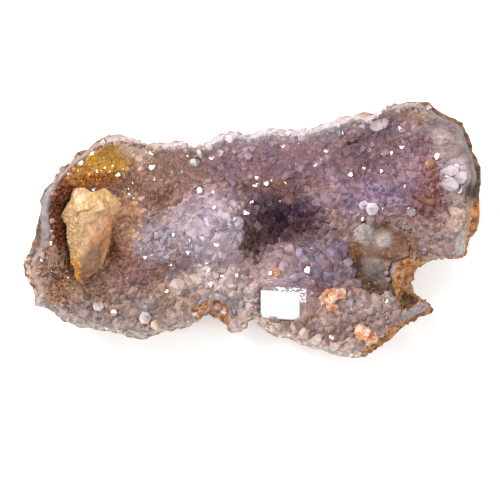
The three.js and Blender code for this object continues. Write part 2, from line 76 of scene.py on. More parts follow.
RIM = [
    # back
    (-62, 34, 41, 2.6, 3),
    (-57, 36.5, 43, 4, 3),
    (-45, 35.5, 42, 4, 3),
    (-42.5, 34, 41, 3.5, 3),
    (-34.5, 34, 40, 3.5, 3),
    (-26.5, 34.5, 40, 3, 2),
    (-23.5, 32.5, 38, 2.5, 2),
    (-18.5, 34, 38, 2, 2),
    (-10, 38, 39, 2, 2),
    (2, 38, 40, 2, 2),
    (6.5, 39.5, 41, 2, 2),
    (19, 39, 41, 2.5, 2),
    (30.5, 42, 42, 3, 2),
    (43, 45.5, 45, 4, 3),
    (49, 45.5, 46.5, 5, 3),
    (55.5, 49, 49, 4, 3),
    (67.5, 50, 50.8, 4, 3),
    # right
    (74.5, 45.5, 50.2, 3.5, 3),
    (82.5, 41.5, 48, 3.5, 3),
    (85.5, 35.5, 46, 3.5, 3),
    (89.5, 22.5, 43, 4, 4),
    (89, 12.5, 40.5, 5, 5),
    (88, 0, 37, 6, 5),
    (85.5, -2.5, 35, 6, 5),
    (84.5, -8.5, 32, 6, 5),
    (82.5, -11, 30, 5, 5),
    # notch in the right side
    (77.5, -10.5, 28, 4, 7),
    (71.5, -11, 26, 4, 8),
    (67, -14, 24, 6, 9),
    (64.5, -15.5, 23, 7.5, 9),
    (63.5, -19.5, 22, 8, 9),
    (63.5, -24, 22, 7, 8),
    (66.5, -26.8, 24, 6, 5),
    (70, -28.8, 26, 5, 3),
    # front right
    (71.2, -31.5, 26, 5, 4),
    (66, -34, 26, 5, 5),
    (61, -37.5, 25, 5, 5),
    (55, -41.5, 24, 6, 5),
    (48.5, -47, 23, 6, 5),
    (43.5, -49.8, 22, 5, 4),
    (38.5, -50, 21, 3, 3),
    (30, -48, 20, 3, 3),
    (21.5, -45, 20, 2.5, 3),
    (14, -42.5, 20, 2.5, 3),
    (7.5, -40.5, 20, 2.5, 3),
    # notch in the front
    (0.5, -35, 20, 2.5, 4),
    (-2.5, -38, 19, 2.5, 4),
    (-7, -40.5, 18, 3, 5),
    (-9.7, -37, 19, 5, 7),
    (-13, -34.8, 21, 8, 10),
    (-17.5, -33.2, 21, 8, 10),
    (-22.5, -37, 19, 4, 6),
    # front left
    (-30.5, -38.5, 20, 3, 3),
    (-43, -42, 21, 3, 4),
    (-54, -40.5, 22, 3.5, 4),
    (-62, -39, 23, 3.5, 4),
    (-68, -37, 24, 4, 4),
    (-74.5, -35, 26, 4, 4),
    (-80.5, -30.5, 28, 4, 4),
    (-85, -29.5, 29, 4, 4),
    # left
    (-84.5, -25, 29, 4, 4),
    (-87, -20.5, 30, 4, 4),
    (-89.5, -13.5, 32, 6, 5),
    (-86.5, -7.5, 34, 6.5, 5),
    (-84, -2, 36, 5, 4),
    (-83, 7, 38, 2.8, 3),
    (-80.5, 15, 40, 2.4, 3),
    (-74.5, 23.5, 41, 2.4, 3),
    (-65.5, 31, 41, 2.4, 3),
]
RIM_STEPS = 24  # points of the rim's curve for each of those
MIDDLE = (0.0, 3.5)
CRUST = (8, 4.5)  # thickness of the crust of crystals, in the middle and at the edge

# Swells and hollows of the crystal floor: x, y, half-widths across and along, turn in degrees,
# height.

SWELLS = {
    "pale mound": (-12, 1, 13, 15, 20, 17),
    "its flank": (-32, -6, 17, 11, 25, 8),
    "pink mound": (18, -17, 21, 10, 8, 9),
    "front right": (36, -31, 20, 9, 20, 5),
    "right shelf": (70, 20, 12, 12, 0, 4),
}
HOLLOWS = {
    "dark pocket": (12, 4, 15, 9, -10, -7),
    "chalcedony pocket": (49, -9, 13, 14, 0, -5),
    "left hollow": (-71, 5, 9, 19, 12, -9),
}
RIPPLES = [(31, 20, 0.9), (23, 100, 0.8), (17, 55, 0.6)]  # wavelength, heading, height

# Where no crystals grow, at the right: x, y, half-widths, turn.

BARE_POCKETS = [(49.5, -4.5, 12, 9, 0), (48.5, -15, 9, 11, 10), (61, -22, 5, 12, 5)]

# The outer wall from the middle of its foot out to the edge: share of the radius, share of the
# height. The notches are bridged on it, over so many degrees to each side.

SKIN = [
    (0.0, -0.1),
    (0.24, -0.05),
    (0.41, 0.08),
    (0.57, 0.21),
    (0.71, 0.36),
    (0.84, 0.54),
    (0.935, 0.72),
    (0.985, 0.86),
    (1, 0.97),
]
MEAN_EDGE = 32  # the edge's height, as the foot of the wall takes it all round
BRIDGE = 15
BRIDGE_EASE = 14

# The part of the floor that the bare pocket's sheet is cut from: x, y, width, depth. Then its
# chalcedony lumps: x, y, radius.

POCKET_GRID = (52, -9.5, 46, 42)
LUMPS = [
    (43.9, -0.9, 6.6),
    (52.2, -4.6, 6.0),
    (59.5, -8.9, 5),
    (48.6, -15.1, 7),
    (51.5, -20.5, 4.5),
    (56.5, 1.5, 4.5),
    (64, -3.5, 4.5),
]

# Smaller lumps among them. Then a cavity's painted shade, and their iron stains: x, y,
# half-widths, turn.

POCKET_LUMPS = [
    (39.5, -3.5, 3),
    (47.5, 2.5, 3),
    (45.5, -6, 3),
    (55.5, -7, 2.6),
    (53.5, -13, 2.8),
    (44, -12.5, 3),
    (44.5, -19.5, 2.6),
    (61, -4.5, 2.6),
    (50.5, 2.5, 3),
    (57.5, -12.5, 2.6),
]
CAVITY_SHADE = (47.6, -20.6, 3.6, 3.4, 0)
POCKET_STAINS = [
    (48, -9.3, 8, 1.5, -8),
    (60.0, -5.0, 5.6, 6.0, 20),
    (54.5, -9.5, 5.4, 3.0, -15),
    (47.2, -21.6, 2.6, 2.6, 0),
    (40.5, -8.5, 2.2, 3.5, 0),
    (43.4, -18.0, 1.6, 3.5, 15),
    (55.5, -13.0, 1.6, 4, 20),
    (64, -1, 4, 4, 0),
]

# Crumbly limonite: x, y, half-widths, turn. The last one lies in the front notch, the others by
# the right one. Then the parts of the floor that its sheet is cut from (x, y, width, depth), and
# the place of its hollow, which is darkened with painted shade.

LIMONITE = [
    (61, -20, 5.4, 8.5, 0),
    (61, -28, 4.6, 5.5, -15),
    (68, -13.0, 6, 2.6, 10),
    (-15.5, -31.5, 7.5, 5.2, 0),
]
LIMONITE_GRIDS = [(64, -22, 28, 30), (-15.5, -32, 22, 16)]
SHADED_HOLLOW = (61.5, -27.5)

# Ochre limonite on the shell, in the notches and on the front right rind: x, y, half-widths.

RUST_SPOTS = [
    (65, -19, 10, 11),
    (-15, -35, 9, 5),
    (62, -39, 12, 4),
    (52, -47, 10, 4),
    (78, -12, 9, 3),
]

# The line of the band of agate round the limonite in the front notch, and half its thickness.

AGATE_ARC = [
    (-22, -30.5),
    (-19, -27.4),
    (-14.8, -25.6),
    (-10.4, -26.6),
    (-7.6, -29.8),
    (-6.2, -33.4),
]
ARC_THICKNESS = 1.4

# Iron grains strewn on the floor: x, y, half-widths, turn, colour, count, size, how far they
# take the place of the quartz.

GRAINS = {
    "left hollow": (-76.5, 5, 3.0, 11, 8, (0.12, 0.032, 0.010), 420, 0.55, 0.9),
    "head of the hollow": (-74.5, 17.5, 4.5, 4.5, 35, (0.20, 0.05, 0.012), 170, 0.55, 0.7),
    "above the calcite": (-63, 20.0, 7, 2.4, 12, (0.34, 0.12, 0.02), 90, 0.42, 0.3),
    "beside the tip": (-53.5, -7, 2.5, 7, 10, (0.13, 0.045, 0.015), 90, 0.36, 0.2),
    "sandy druse": (-75, -17, 8, 8, 0, (0.09, 0.035, 0.012), 170, 0.36, 0.1),
    "orange spots": (-75, -26, 6, 3, -15, (0.30, 0.11, 0.03), 90, 0.4, 0.2),
    "pocket's left side": (40, -9.0, 1.8, 4.4, -15, (0.22, 0.095, 0.035), 90, 0.32, 0.3),
    "right wall": (70.5, 25.0, 2.4, 3.6, 20, (0.30, 0.12, 0.045), 50, 0.34, 0.2),
    "back crack": (40.3, 34.5, 4, 0.9, 22, (0.12, 0.05, 0.01), 60, 0.36, 0.4),
    "back right": (66, 42, 4, 2.0, -18, (0.26, 0.14, 0.07), 45, 0.32, 0.1),
    "front notch": (-15, -30, 6, 1.8, 10, (0.22, 0.08, 0.02), 80, 0.45, 0.3),
}

# Patches of the druse: x, y, half-widths, turn, colour, how brown the joints are, factor on the
# size of the points, and for some how far they prevail over their neighbours.

PATCHES = {
    "pale mound": (-17, 1, 15, 17, 20, (0.50, 0.395, 0.455), 0.12, 1.1),
    "mound flank": (-34, -6, 15, 11, 20, (0.31, 0.25, 0.28), 0.12, 0.9),
    "foot of the mound": (-15, -19, 12, 7, 0, (0.63, 0.51, 0.48), 0.25, 1.05),
    "upper wall": (14, 27, 34, 11, 5, (0.43, 0.26, 0.33), 0.45, 0.9),
    "upper right": (54, 32, 24, 12, 15, (0.28, 0.16, 0.20), 0.4, 0.9),
    "violet middle": (50, 16, 18, 9, 10, (0.235, 0.155, 0.25), 0.25, 0.95),
    # Painted shade in the dark pocket: its points are deep purple, painted darker still where the
    # mound's shadow falls (darkest corner) and in its deepest middle.
    "dark pocket": (13, 5, 14, 8.5, -10, (0.051, 0.019, 0.044), 0.2, 1.2, 5),
    "darkest corner": (1.2, -6.5, 4.0, 7.2, 10, (0.019, 0.002, 0.003), 0.2, 1.0, 6),
    "deep middle": (11, 3.5, 6.5, 4.5, -20, (0.010, 0.002, 0.004), 0.1, 1.1, 8),
    "grey violet crystals": (3.5, 10.5, 5, 5.5, 0, (0.142, 0.092, 0.166), 0.35, 1.5, 5),
    "red above the pocket": (8, 17.5, 15, 3.5, 0, (0.143, 0.048, 0.056), 0.7, 0.9, 1.5),
    # Brown druse, painted darker with shade, at the upper left of the mound.
    "brown shade by the mound": (-34.5, 14, 7, 4.5, 30, (0.181, 0.082, 0.050), 0.6, 0.7, 1.5),
    # Peach druse beside the calcite's head, painted lighter to lift the shadow the head casts on
    # it.
    "right of the head": (-49, 5, 5, 9, 0, (0.74, 0.42, 0.24), 0.4, 0.6, 3),
    "behind the head": (-48.5, 18, 7, 3.5, 0, (0.21, 0.10, 0.05), 0.5, 0.5, 1.5),
    "orange behind the head": (-57, 19.8, 6.5, 2.8, 0, (0.44, 0.11, 0.01), 0.5, 0.5, 2.5),
    "below the tip": (-60.5, -24.5, 7, 4, -20, (0.065, 0.025, 0.011), 0.5, 0.5, 2),
    "sugary druse": (-76, -13, 4.5, 5, 0, (0.66, 0.45, 0.35), 0.4, 0.5, 1.2),
    "pale by the arc": (-3.5, -27, 5, 6, 0, (0.56, 0.47, 0.47), 0.25, 1.1, 1.5),
    "right of the label": (22, -35, 6, 5, 0, (0.23, 0.14, 0.11), 0.4, 1.0, 1.0),
    "left of the limonite": (51, -29, 6, 7, 0, (0.44, 0.34, 0.32), 0.3, 0.9, 1.5),
    "violet by the label": (15, -21, 7, 4, -20, (0.27, 0.19, 0.25), 0.2, 1.1),
    "pink mound": (6, -13, 12, 10, 0, (0.37, 0.24, 0.26), 0.2, 1.25),
    "violet grey": (29, -12, 14, 10, 10, (0.197, 0.135, 0.193), 0.2, 1.1),
    "front right": (38, -36, 22, 10, 20, (0.31, 0.21, 0.20), 0.3, 1.0),
    "right wall": (70, 15, 9, 10, 0, (0.146, 0.034, 0.041), 0.4, 0.8),
    "pale right": (80.5, 5, 5, 6, 0, (0.61, 0.41, 0.35), 0.4, 0.8),
    "right brown": (69, 0, 14, 8, 0, (0.25, 0.17, 0.17), 0.5, 0.8),
    "brown below the wall": (65.5, 6, 5.5, 3.2, 0, (0.097, 0.035, 0.038), 0.6, 0.8, 2.5),
    "golden haze": (60.5, -5, 5, 6, 10, (0.180, 0.089, 0.044), 0.9, 0.4),
    "left brown": (-31, 22, 15, 12, 0, (0.43, 0.26, 0.21), 0.5, 0.7),
    "yellow druse": (-57.5, 27.5, 12, 6.5, 0, (0.68, 0.36, 0.02), 0.35, 0.6, 1.3),
    "haze over the yellow": (-44.5, 31, 7, 5, -10, (0.85, 0.62, 0.50), 0.15, 0.7, 3),
    "left hollow": (-76, 8, 6.5, 14, 8, (0.10, 0.015, 0.003), 0.3, 0.5),
    "orange wall": (-66, 21.5, 9, 4.5, 10, (0.67, 0.27, 0.03), 0.5, 0.5),
    "beside the calcite": (-53, -6, 7, 12, 5, (0.34, 0.13, 0.06), 0.5, 0.42),
    "sandy druse": (-70, -15, 13, 13, 0, (0.39, 0.21, 0.11), 0.5, 0.42),
    "left floor": (-44, -16, 15, 9, 0, (0.177, 0.084, 0.075), 0.35, 0.6),
    "front left": (-52, -31, 30, 8, -5, (0.29, 0.21, 0.19), 0.25, 1.05),
    "front middle": (-28, -27, 12, 8, 0, (0.39, 0.26, 0.20), 0.3, 1.1),
    "back edge": (10, 37, 45, 4, 4, (0.43, 0.35, 0.40), 0.2, 0.85),
    "right edge": (80, 28, 8, 26, 0, (0.32, 0.20, 0.21), 0.2, 1.1),
}

# Larger clear points that stand out: x, y, radius, height of the shoulder, lean in x and y,
# colour.

CLEAR_POINTS = [
    (-22.6, 27.2, 2.7, 1.5, 0.1, -0.3, (0.30, 0.26, 0.27)),
    (-27.0, -12.0, 3.6, 2.2, 0.0, -0.1, (0.20, 0.12, 0.14)),
    (-28.8, -21.9, 4.0, 1.6, 0.3, -0.3, (0.44, 0.35, 0.32)),
    (-23.2, -19.0, 2.6, 1.0, -0.5, 0.3, (0.56, 0.42, 0.34)),
    (48.6, 42.0, 3.6, 2.0, 0.6, 0.1, (0.85, 0.70, 0.74)),
    (51.5, 42.6, 2.6, 1.8, -0.3, 0.2, (0.80, 0.66, 0.70)),
    (80.8, 23.2, 2.7, 4.2, -1.5, 0.2, (0.52, 0.43, 0.47)),
    (81.0, 18.2, 3.2, 5.0, -1.6, 0.0, (0.56, 0.47, 0.51)),
    (83.0, 20.8, 2.8, 2.6, -0.9, 0.2, (0.48, 0.40, 0.43)),
    (69.7, 26.2, 2.1, 1.2, 0.1, 0.2, (0.50, 0.25, 0.14)),
    (47.6, 8.6, 3.0, 2.0, -0.1, 0.3, (0.82, 0.76, 0.82)),
    (44.0, 10.0, 2.2, 1.4, 0.2, 0.2, (0.66, 0.58, 0.68)),
    (63.2, 7.2, 2.3, 1.6, -0.4, 0.6, (0.26, 0.21, 0.24)),
    (-60.0, -30.0, 2.4, 1.4, -0.3, 0.5, (0.62, 0.54, 0.54)),
    (-42.0, -34.5, 2.9, 1.8, 0.2, 0.2, (0.70, 0.58, 0.56)),
    (37.7, -12.8, 2.2, 1.6, -0.4, 0.5, (0.30, 0.26, 0.30)),
    (39.3, -28.4, 1.9, 1.4, 0.5, 0.2, (0.30, 0.27, 0.30)),
    (20.9, -40.5, 3.0, 1.6, 0.6, 0.5, (0.56, 0.43, 0.36)),
    (25.4, -42.8, 2.8, 1.4, -0.6, 0.6, (0.58, 0.46, 0.40)),
    (16.4, -38.4, 2.4, 1.4, 0.4, 0.7, (0.56, 0.42, 0.36)),
    (-37.4, -37.6, 2.6, 1.4, 0.2, 0.2, (0.70, 0.50, 0.36)),
    (1.5, -22.0, 2.4, 1.4, 0.4, 0.2, (0.58, 0.42, 0.36)),
    (12.5, -14.5, 2.3, 1.6, 0.4, 0.3, (0.42, 0.31, 0.38)),
    (19.0, -9.5, 2.4, 1.6, 0.5, 0.3, (0.28, 0.21, 0.32)),
    (31.5, -9.0, 2.2, 1.6, -0.2, 0.6, (0.26, 0.19, 0.30)),
    # These two stand in the dark pocket and are painted darker with its shade.
    (2.0, 1.5, 2.7, 1.4, 0.5, -0.2, (0.07, 0.03, 0.06)),
    (8.0, -4.0, 2.6, 1.2, 0.1, 0.4, (0.04, 0.012, 0.03)),
]

# Points with a face turned so that it mirrors the window: x, y, radius.

GLINTS = [
    (-15.2, 28.6, 3.1),
    (47.3, 8.3, 2.6),
    (22.3, -15.8, 2.5),
    (72.6, 28.5, 2.5),
    (-20.4, 15.4, 2.3),
    (29.2, 31.0, 2.2),
    (-13.2, -5.4, 2.4),
    (-6.8, 4.3, 1.6),
    (-16.8, -15.7, 1.6),
    (76.9, 20.7, 1.8),
    (-14.5, 8.9, 1.4),
    (-15.0, 14.9, 1.4),
    (81.2, 15.2, 1.7),
    (80.0, 24.6, 1.7),
    (50.9, 23.0, 1.4),
    (-9.6, 22.6, 1.5),
    (-40.9, 30.7, 1.6),
    (53.1, -27.8, 1.3),
    (43.7, 4.2, 1.3),
    (12.0, 31.8, 1.3),
    (7.6, -16.6, 1.4),
    (-11.3, -17.8, 1.5),
    (-15.9, -21.5, 1.6),
    (-52.0, 21.5, 1.9),
    (-53.6, -32.3, 2.2),
    (54.7, 30.1, 1.5),
    (44.3, 24.3, 1.3),
    (6.0, 17.9, 2.0),
    (39.1, 21.6, 1.7),
    (61.9, 7.9, 1.8),
    (-41.5, -10.9, 1.3),
    (-33.0, -24.0, 1.5),
    (-59.5, -30.5, 1.6),
    (-30.5, -2.0, 1.2),
]

# Patches of the broken edge, in the same columns.

EDGE_PATCHES = {
    "back": (0, 38, 58, 6, 3, (0.54, 0.44, 0.48), 0.2, 1.0),
    "back right": (44, 43, 10, 5, 10, (0.29, 0.21, 0.21), 0.5, 0.9, 1.5),
    "upper left": (-45, 35, 16, 6, 0, (0.29, 0.15, 0.07), 0.6, 0.9),
    "upper right": (75, 40, 24, 18, 0, (0.31, 0.22, 0.22), 0.15, 0.8),
    "right": (86, 16, 8, 14, 0, (0.26, 0.18, 0.16), 0.25, 0.9),
    "white mass": (80.5, 21, 4, 6.5, 0, (0.49, 0.41, 0.44), 0.05, 0.9, 4),
    "pale mass": (73.6, 37, 4.5, 3.6, 20, (0.50, 0.38, 0.39), 0.1, 0.9, 3),
    "dark spot": (86.4, 14.6, 3.4, 4.4, 0, (0.010, 0.007, 0.002), 0.05, 0.8, 10),
    "yellow streak": (85.5, 9.4, 3.2, 2.0, 0, (0.168, 0.125, 0.023), 0.2, 0.8, 8),
    "peach mass": (81, 5, 4, 4.5, 0, (0.51, 0.36, 0.29), 0.4, 0.8, 3),
    "orange edge": (87.2, 3.5, 3.6, 8, 0, (0.32, 0.12, 0.04), 0.6, 0.8, 6),
    "orange haze": (65.5, 45.5, 4.5, 2.5, -20, (0.37, 0.22, 0.14), 0.8, 0.9, 3),
    "left": (-84, 5, 10, 26, 0, (0.158, 0.071, 0.036), 0.4, 0.7),
    "lower left": (-84, -20, 10, 12, 0, (0.21, 0.12, 0.09), 0.6, 0.7),
    "front left": (-52, -38, 36, 7, 0, (0.28, 0.20, 0.18), 0.25, 1.0),
    "front middle": (18, -44, 26, 8, -15, (0.54, 0.40, 0.33), 0.25, 1.1),
    "front right": (58, -38, 18, 9, 35, (0.26, 0.16, 0.15), 0.4, 0.8),
}

# The agate band and the rind of the broken edge: x, y, half-widths, turn, colour of the band,
# colour of the rind, how far the rind reaches in over the band.

RIND_PATCHES = {
    "back": (0, 38, 60, 6, 3, (0.42, 0.34, 0.36), (0.36, 0.22, 0.14), -0.1),
    "upper left": (-68, 30, 16, 9, 30, (0.25, 0.18, 0.155), (0.22, 0.11, 0.05), 0.35),
    "left": (-84, 10, 7, 16, -8, (0.22, 0.19, 0.195), (0.15, 0.065, 0.035), 0.2),
    "lobe": (-83, -6, 7, 9, 0, (0.20, 0.16, 0.155), (0.14, 0.08, 0.055), 0.5),
    "lower left": (-86, -17, 6, 8, 0, (0.32, 0.20, 0.14), (0.36, 0.24, 0.18), 0.4),
    "front left": (-60, -38, 32, 7, 0, (0.38, 0.32, 0.29), (0.30, 0.17, 0.09), 0.0),
    "front middle": (15, -43, 26, 8, -15, (0.42, 0.34, 0.31), (0.40, 0.22, 0.12), 0.0),
    "front right": (58, -40, 18, 9, 35, (0.22, 0.19, 0.19), (0.26, 0.10, 0.035), 0.35),
    "right": (87, 5, 7, 9, 0, (0.30, 0.17, 0.10), (0.38, 0.14, 0.04), 0.75),
    "green spot": (87.5, 14.5, 5, 4.5, 0, (0.004, 0.003, 0.001), (0.004, 0.002, 0.001), 0.8),
    "lower right": (84, -6, 7, 6, 0, (0.36, 0.31, 0.31), (0.34, 0.17, 0.08), 0.1),
    "upper right": (82, 34, 20, 20, 0, (0.22, 0.175, 0.175), (0.18, 0.085, 0.036), 0.6),
}

# The broken quartz along the edge is frosted, with few points. Where it is widest, and where it
# is left out for the yellow druse and the left hollow: x, y, half-widths, turn.

FROSTED = (80, 34, 19, 21, 0)
UNFROSTED = [(-63, 29, 19, 10, 15), (-79, 6, 11, 22, 0)]

# Where the broken edge is smooth agate or limonite, with no quartz on it: x, y, half-widths, turn.

SMOOTH_EDGES = [
    (-86, 8, 9, 22, 0),
    (-66, 33, 14, 6, 30),
    (-87, -24, 6, 5, 0),
    (87, -5, 6, 8, 0),
    (88, 14, 5, 8, 0),
    (64, -19, 13, 12, 0),
    (-15, -36, 9, 5, 0),
    (66, -34, 10, 6, 35),
]

# What holds where no patch does.

GROUND_TINT = (0.30, 0.20, 0.20)
GROUND_STAIN = 0.5

# The calcite: the corners of its parts, which overlap and are fused.

CALCITE = {
    "body": [
        (-72.5, 2.3, 33),
        (-72, -2.5, 32.5),
        (-69.9, -9.4, 31),
        (-68.1, -14.6, 28.5),
        (-68.8, -20.3, 25.5),
        (-66, -19.6, 25),
        (-61.2, -17.2, 25.5),
        (-57.7, -13.3, 26),
        (-55.8, -7.7, 27.5),
        (-55.6, -2.5, 29),
        (-54.4, 1.8, 32),
        (-61, 10, 39.2),
        (-68, 10, 37),
        (-53.2, 6, 31.5),
        (-66.5, 0, 38),
        (-62.9, -6.4, 36),
        (-66.8, -14.6, 31),
        (-55.2, 3.2, 34),
        (-66, 12, 16),
        (-57, 12, 16),
        (-58, -6, 17),
        (-65, -12, 19),
    ],
    "left of the head": [
        (-71.8, 10.3, 34),
        (-69.9, 14.4, 34.5),
        (-69.2, 16.4, 35),
        (-65.3, 17.3, 36),
        (-62.3, 15.4, 36.5),
        (-61, 10, 39.5),
        (-64, 8, 40.3),
        (-69, 7, 37.5),
        (-66, 12, 20),
        (-69, 9, 24),
        (-61, 11, 20),
    ],
    "right of the head": [
        (-62.3, 15, 36),
        (-57.3, 16.4, 35.5),
        (-54.7, 14.6, 34.5),
        (-50.4, 10.5, 33),
        (-52.1, 7.5, 32.5),
        (-54, 4.5, 33),
        (-61, 7, 40),
        (-57, 8, 40.2),
        (-60, 12.5, 39.6),
        (-60, 11, 20),
        (-55, 8, 22),
    ],
    "knob": [
        (-75, 5.7, 32.5),
        (-74.2, 3.8, 32),
        (-72.4, 2, 33),
        (-73.2, 8, 34),
        (-71.6, 10.6, 34.8),
        (-68.5, 9.5, 37.6),
        (-68, 2.5, 37.6),
        (-71, 6, 24),
        (-68, 6, 22),
    ],
}

# Its colours: the head, the sugary left side, the shaded side below the ridge, the orange edges.

CALCITE_HEAD = Vector((0.50, 0.31, 0.13))
CALCITE_SUGARY = Vector((0.42, 0.26, 0.12))
CALCITE_SHADED = Vector((0.21, 0.085, 0.03))
CALCITE_ORANGE = Vector((0.55, 0.19, 0.02))

# Orange spar crystals: x, y, sizes, turns.

SPAR = [
    (33.8, -24.6, (4.6, 3.6, 5), (20, 25, 15)),
    (31.0, -27.6, (4.4, 3.4, 5), (-15, 20, 50)),
    (28.4, -26.6, (3.2, 2.8, 4), (30, -10, 20)),
    (31.6, -30.0, (3.0, 2.4, 3.6), (10, 35, -20)),
    (29.4, -24.4, (2.6, 2.4, 3.4), (35, 10, 70)),
    (44.4, -39.6, (6.0, 4.4, 6), (15, -15, -30)),
    (46.6, -42.2, (4.2, 3.4, 4.6), (-20, 20, 10)),
    (42.2, -38.2, (3.4, 3.0, 4), (25, 20, 40)),
    (42.6, -41.8, (3.0, 2.6, 3.4), (0, 30, -50)),
    (9.8, -16.8, (2.2, 1.8, 3.0), (20, 20, 30)),
]

# The label on the front slope: x, y, width, depth, turn, and how high it stands over the floor.
# Then the tape's shift from it, and its width and depth.

LABEL = (11.8, -28.0, 15.4, 11.8, -2)
LABEL_LIFT = 3.4
TAPE_SHIFT = (1.7, 1.2, 0.75)
TAPE_SIZE = (17.4, 13.8)

# How fine the meshes are, how many places are tried for the points, and how many shapes they have.

SHELL_COLUMNS = 560
UNDERSIDE_ROWS = 40
BED_COLUMNS = 300
SHEET_STEP = 0.4
CALCITE_VOXEL = 0.42
LARGE_TRIES = 24000
FINE_TRIES = 44000
EDGE_TRIES = 5200
POINT_SHAPES = 14
EDGE_SHAPES = 10
CELL = 6  # side of the squares in which near points are looked up
GLINT_SHARE = 0.7  # size of a glinting point to the radius in its row

# The stage. The glints mirror the window lamp, and the camera looks straight down.

WINDOW = (-0.55, 0.45, 0.75)  # metres
CAMERA_HEIGHT = 4.0  # metres
SENSOR = 36
FRAME_PIXELS = 500
PIXEL = 0.39  # millimetres of the object, at its mean height, to a pixel
FRAME_MIDDLE = (-0.53, -7.7)
MEAN_HEIGHT = 38


# Settings that a user would change


class ClusterSizes(bpy.types.PropertyGroup):
    floor_height: FloatProperty(
        name="Floor height",
        description="Height of the crystal floor in the middle of the dish",
        default=0.014,
        unit="LENGTH",
    )
    point_spacing: FloatProperty(
        name="Point spacing",
        description="Least distance between the larger quartz points",
        default=0.0026,
        unit="LENGTH",
    )
    fine_spacing: FloatProperty(
        name="Fine spacing",
        description="Least distance between the small points that fill the gaps",
        default=0.0014,
        unit="LENGTH",
    )
    seed: IntProperty(
        name="Seed", description="Changes the places of the points", default=5
    )
    rind_relief: FloatProperty(
        name="Rind relief",
        description="How far the lumps of the rind stand in or out",
        default=0.0011,
        unit="LENGTH",
    )


class ClusterColours(bpy.types.PropertyGroup):
    iron: FloatVectorProperty(
        name="Iron stain",
        description="Iron-brown skin in the joints between the points",
        subtype="COLOR",
        default=(0.40, 0.18, 0.11),
    )
    agate: FloatVectorProperty(
        name="Agate",
        description="Blue-grey chalcedony of the broken edge",
        subtype="COLOR",
        default=(0.25, 0.22, 0.23),
    )
    rind: FloatVectorProperty(
        name="Rind",
        description="Brown skin of the outside",
        subtype="COLOR",
        default=(0.24, 0.12, 0.06),
    )
    calcite: FloatVectorProperty(
        name="Calcite",
        description="Tan of the calcite crystal",
        subtype="COLOR",
        default=(0.42, 0.225, 0.11),
    )
    paper: FloatVectorProperty(
        name="Paper", description="White of the label", subtype="COLOR", default=(0.62, 0.62, 0.65)
    )


# The shape of the dish, in millimetres, for arrays of x and y


def smoothstep(value, low, high):
    """0 at the low value and 1 at the high one, eased between them."""
    t = np.clip((value - low) / (high - low), 0, 1)
    return t * t * (3 - 2 * t)


def clamp(value):
    """A number held between 0 and 1."""
    return max(0.0, min(1.0, value))


def curve_through(points, steps):
    """A closed centripetal curve through the points, with so many steps between each two."""
    p = np.array(points, float)
    rows = []
    for i in range(len(p)):
        a, b, c, d = (p[(i + k - 1) % len(p)] for k in range(4))
        ab, bc, cd = (np.linalg.norm(v) ** 0.5 for v in (b - a, c - b, d - c))
        start = ((b - a) / ab - (c - a) / (ab + bc) + (c - b) / bc) * bc
        stop = ((c - b) / bc - (d - b) / (bc + cd) + (d - c) / cd) * bc
        for k in range(steps):
            t = k / steps
            bend = (3 * (c - b) - 2 * start - stop) * t**2 + (2 * (b - c) + start + stop) * t**3
            rows.append(b + start * t + bend)
    return np.array(rows)


def rim_curve():
    """Rows of x, y, lip, edge and fall along the rim."""
    line = curve_through([row[:3] for row in RIM], RIM_STEPS)
    place = np.arange(len(line)) / RIM_STEPS
    wide = np.array(RIM + RIM[:1], float)
    rest = [np.interp(place, np.arange(len(wide)), wide[:, k]) for k in (3, 4)]
    return np.column_stack([line, *rest])


def polar(x, y):
    """Direction and distance of places from the middle."""
    return np.arctan2(y - MIDDLE[1], x - MIDDLE[0]), np.hypot(x - MIDDLE[0], y - MIDDLE[1])


def from_middle(angle, reach):
    """Places so far out from the middle in a direction."""
    return MIDDLE[0] + reach * np.cos(angle), MIDDLE[1] + reach * np.sin(angle)


RIM_CURVE = rim_curve()
RIM_ANGLE, RIM_RADIUS = polar(*RIM_CURVE.T[:2])


def rim_at(angle):
    """Radius, lip, edge and fall of the rim in a direction from the middle."""
    values = (RIM_RADIUS, RIM_CURVE[:, 2], RIM_CURVE[:, 3], RIM_CURVE[:, 4])
    return [np.interp(angle, RIM_ANGLE, v, period=2 * math.pi) for v in values]


def swell(form, x, y):
    """1 in the middle of a form given by x, y, half-widths and turn, falling to 0 around it."""
    cx, cy, across, along, turn = form[:5]
    a = math.radians(turn)
    u = ((x - cx) * math.cos(a) + (y - cy) * math.sin(a)) / across
    v = ((y - cy) * math.cos(a) - (x - cx) * math.sin(a)) / along
    return np.exp(-((u * u + v * v) ** 1.4))


def bareness(x, y):
    """1 in the bare pocket at the right, 0 where crystals grow."""
    bare = sum(swell(pocket, x, y) for pocket in BARE_POCKETS) + 0.8 * swell(LIMONITE[3], x, y)
    return smoothstep(bare, 0.3, 0.6)


def chalcedony(x, y):
    """1 where the bare pocket shows its chalcedony, less towards the limonite."""
    limonite = swell(LIMONITE[0], x, y) + swell(LIMONITE[1], x, y)
    return (x > 20) * bareness(x, y) * (1 - smoothstep(limonite, 0.5, 0.9))


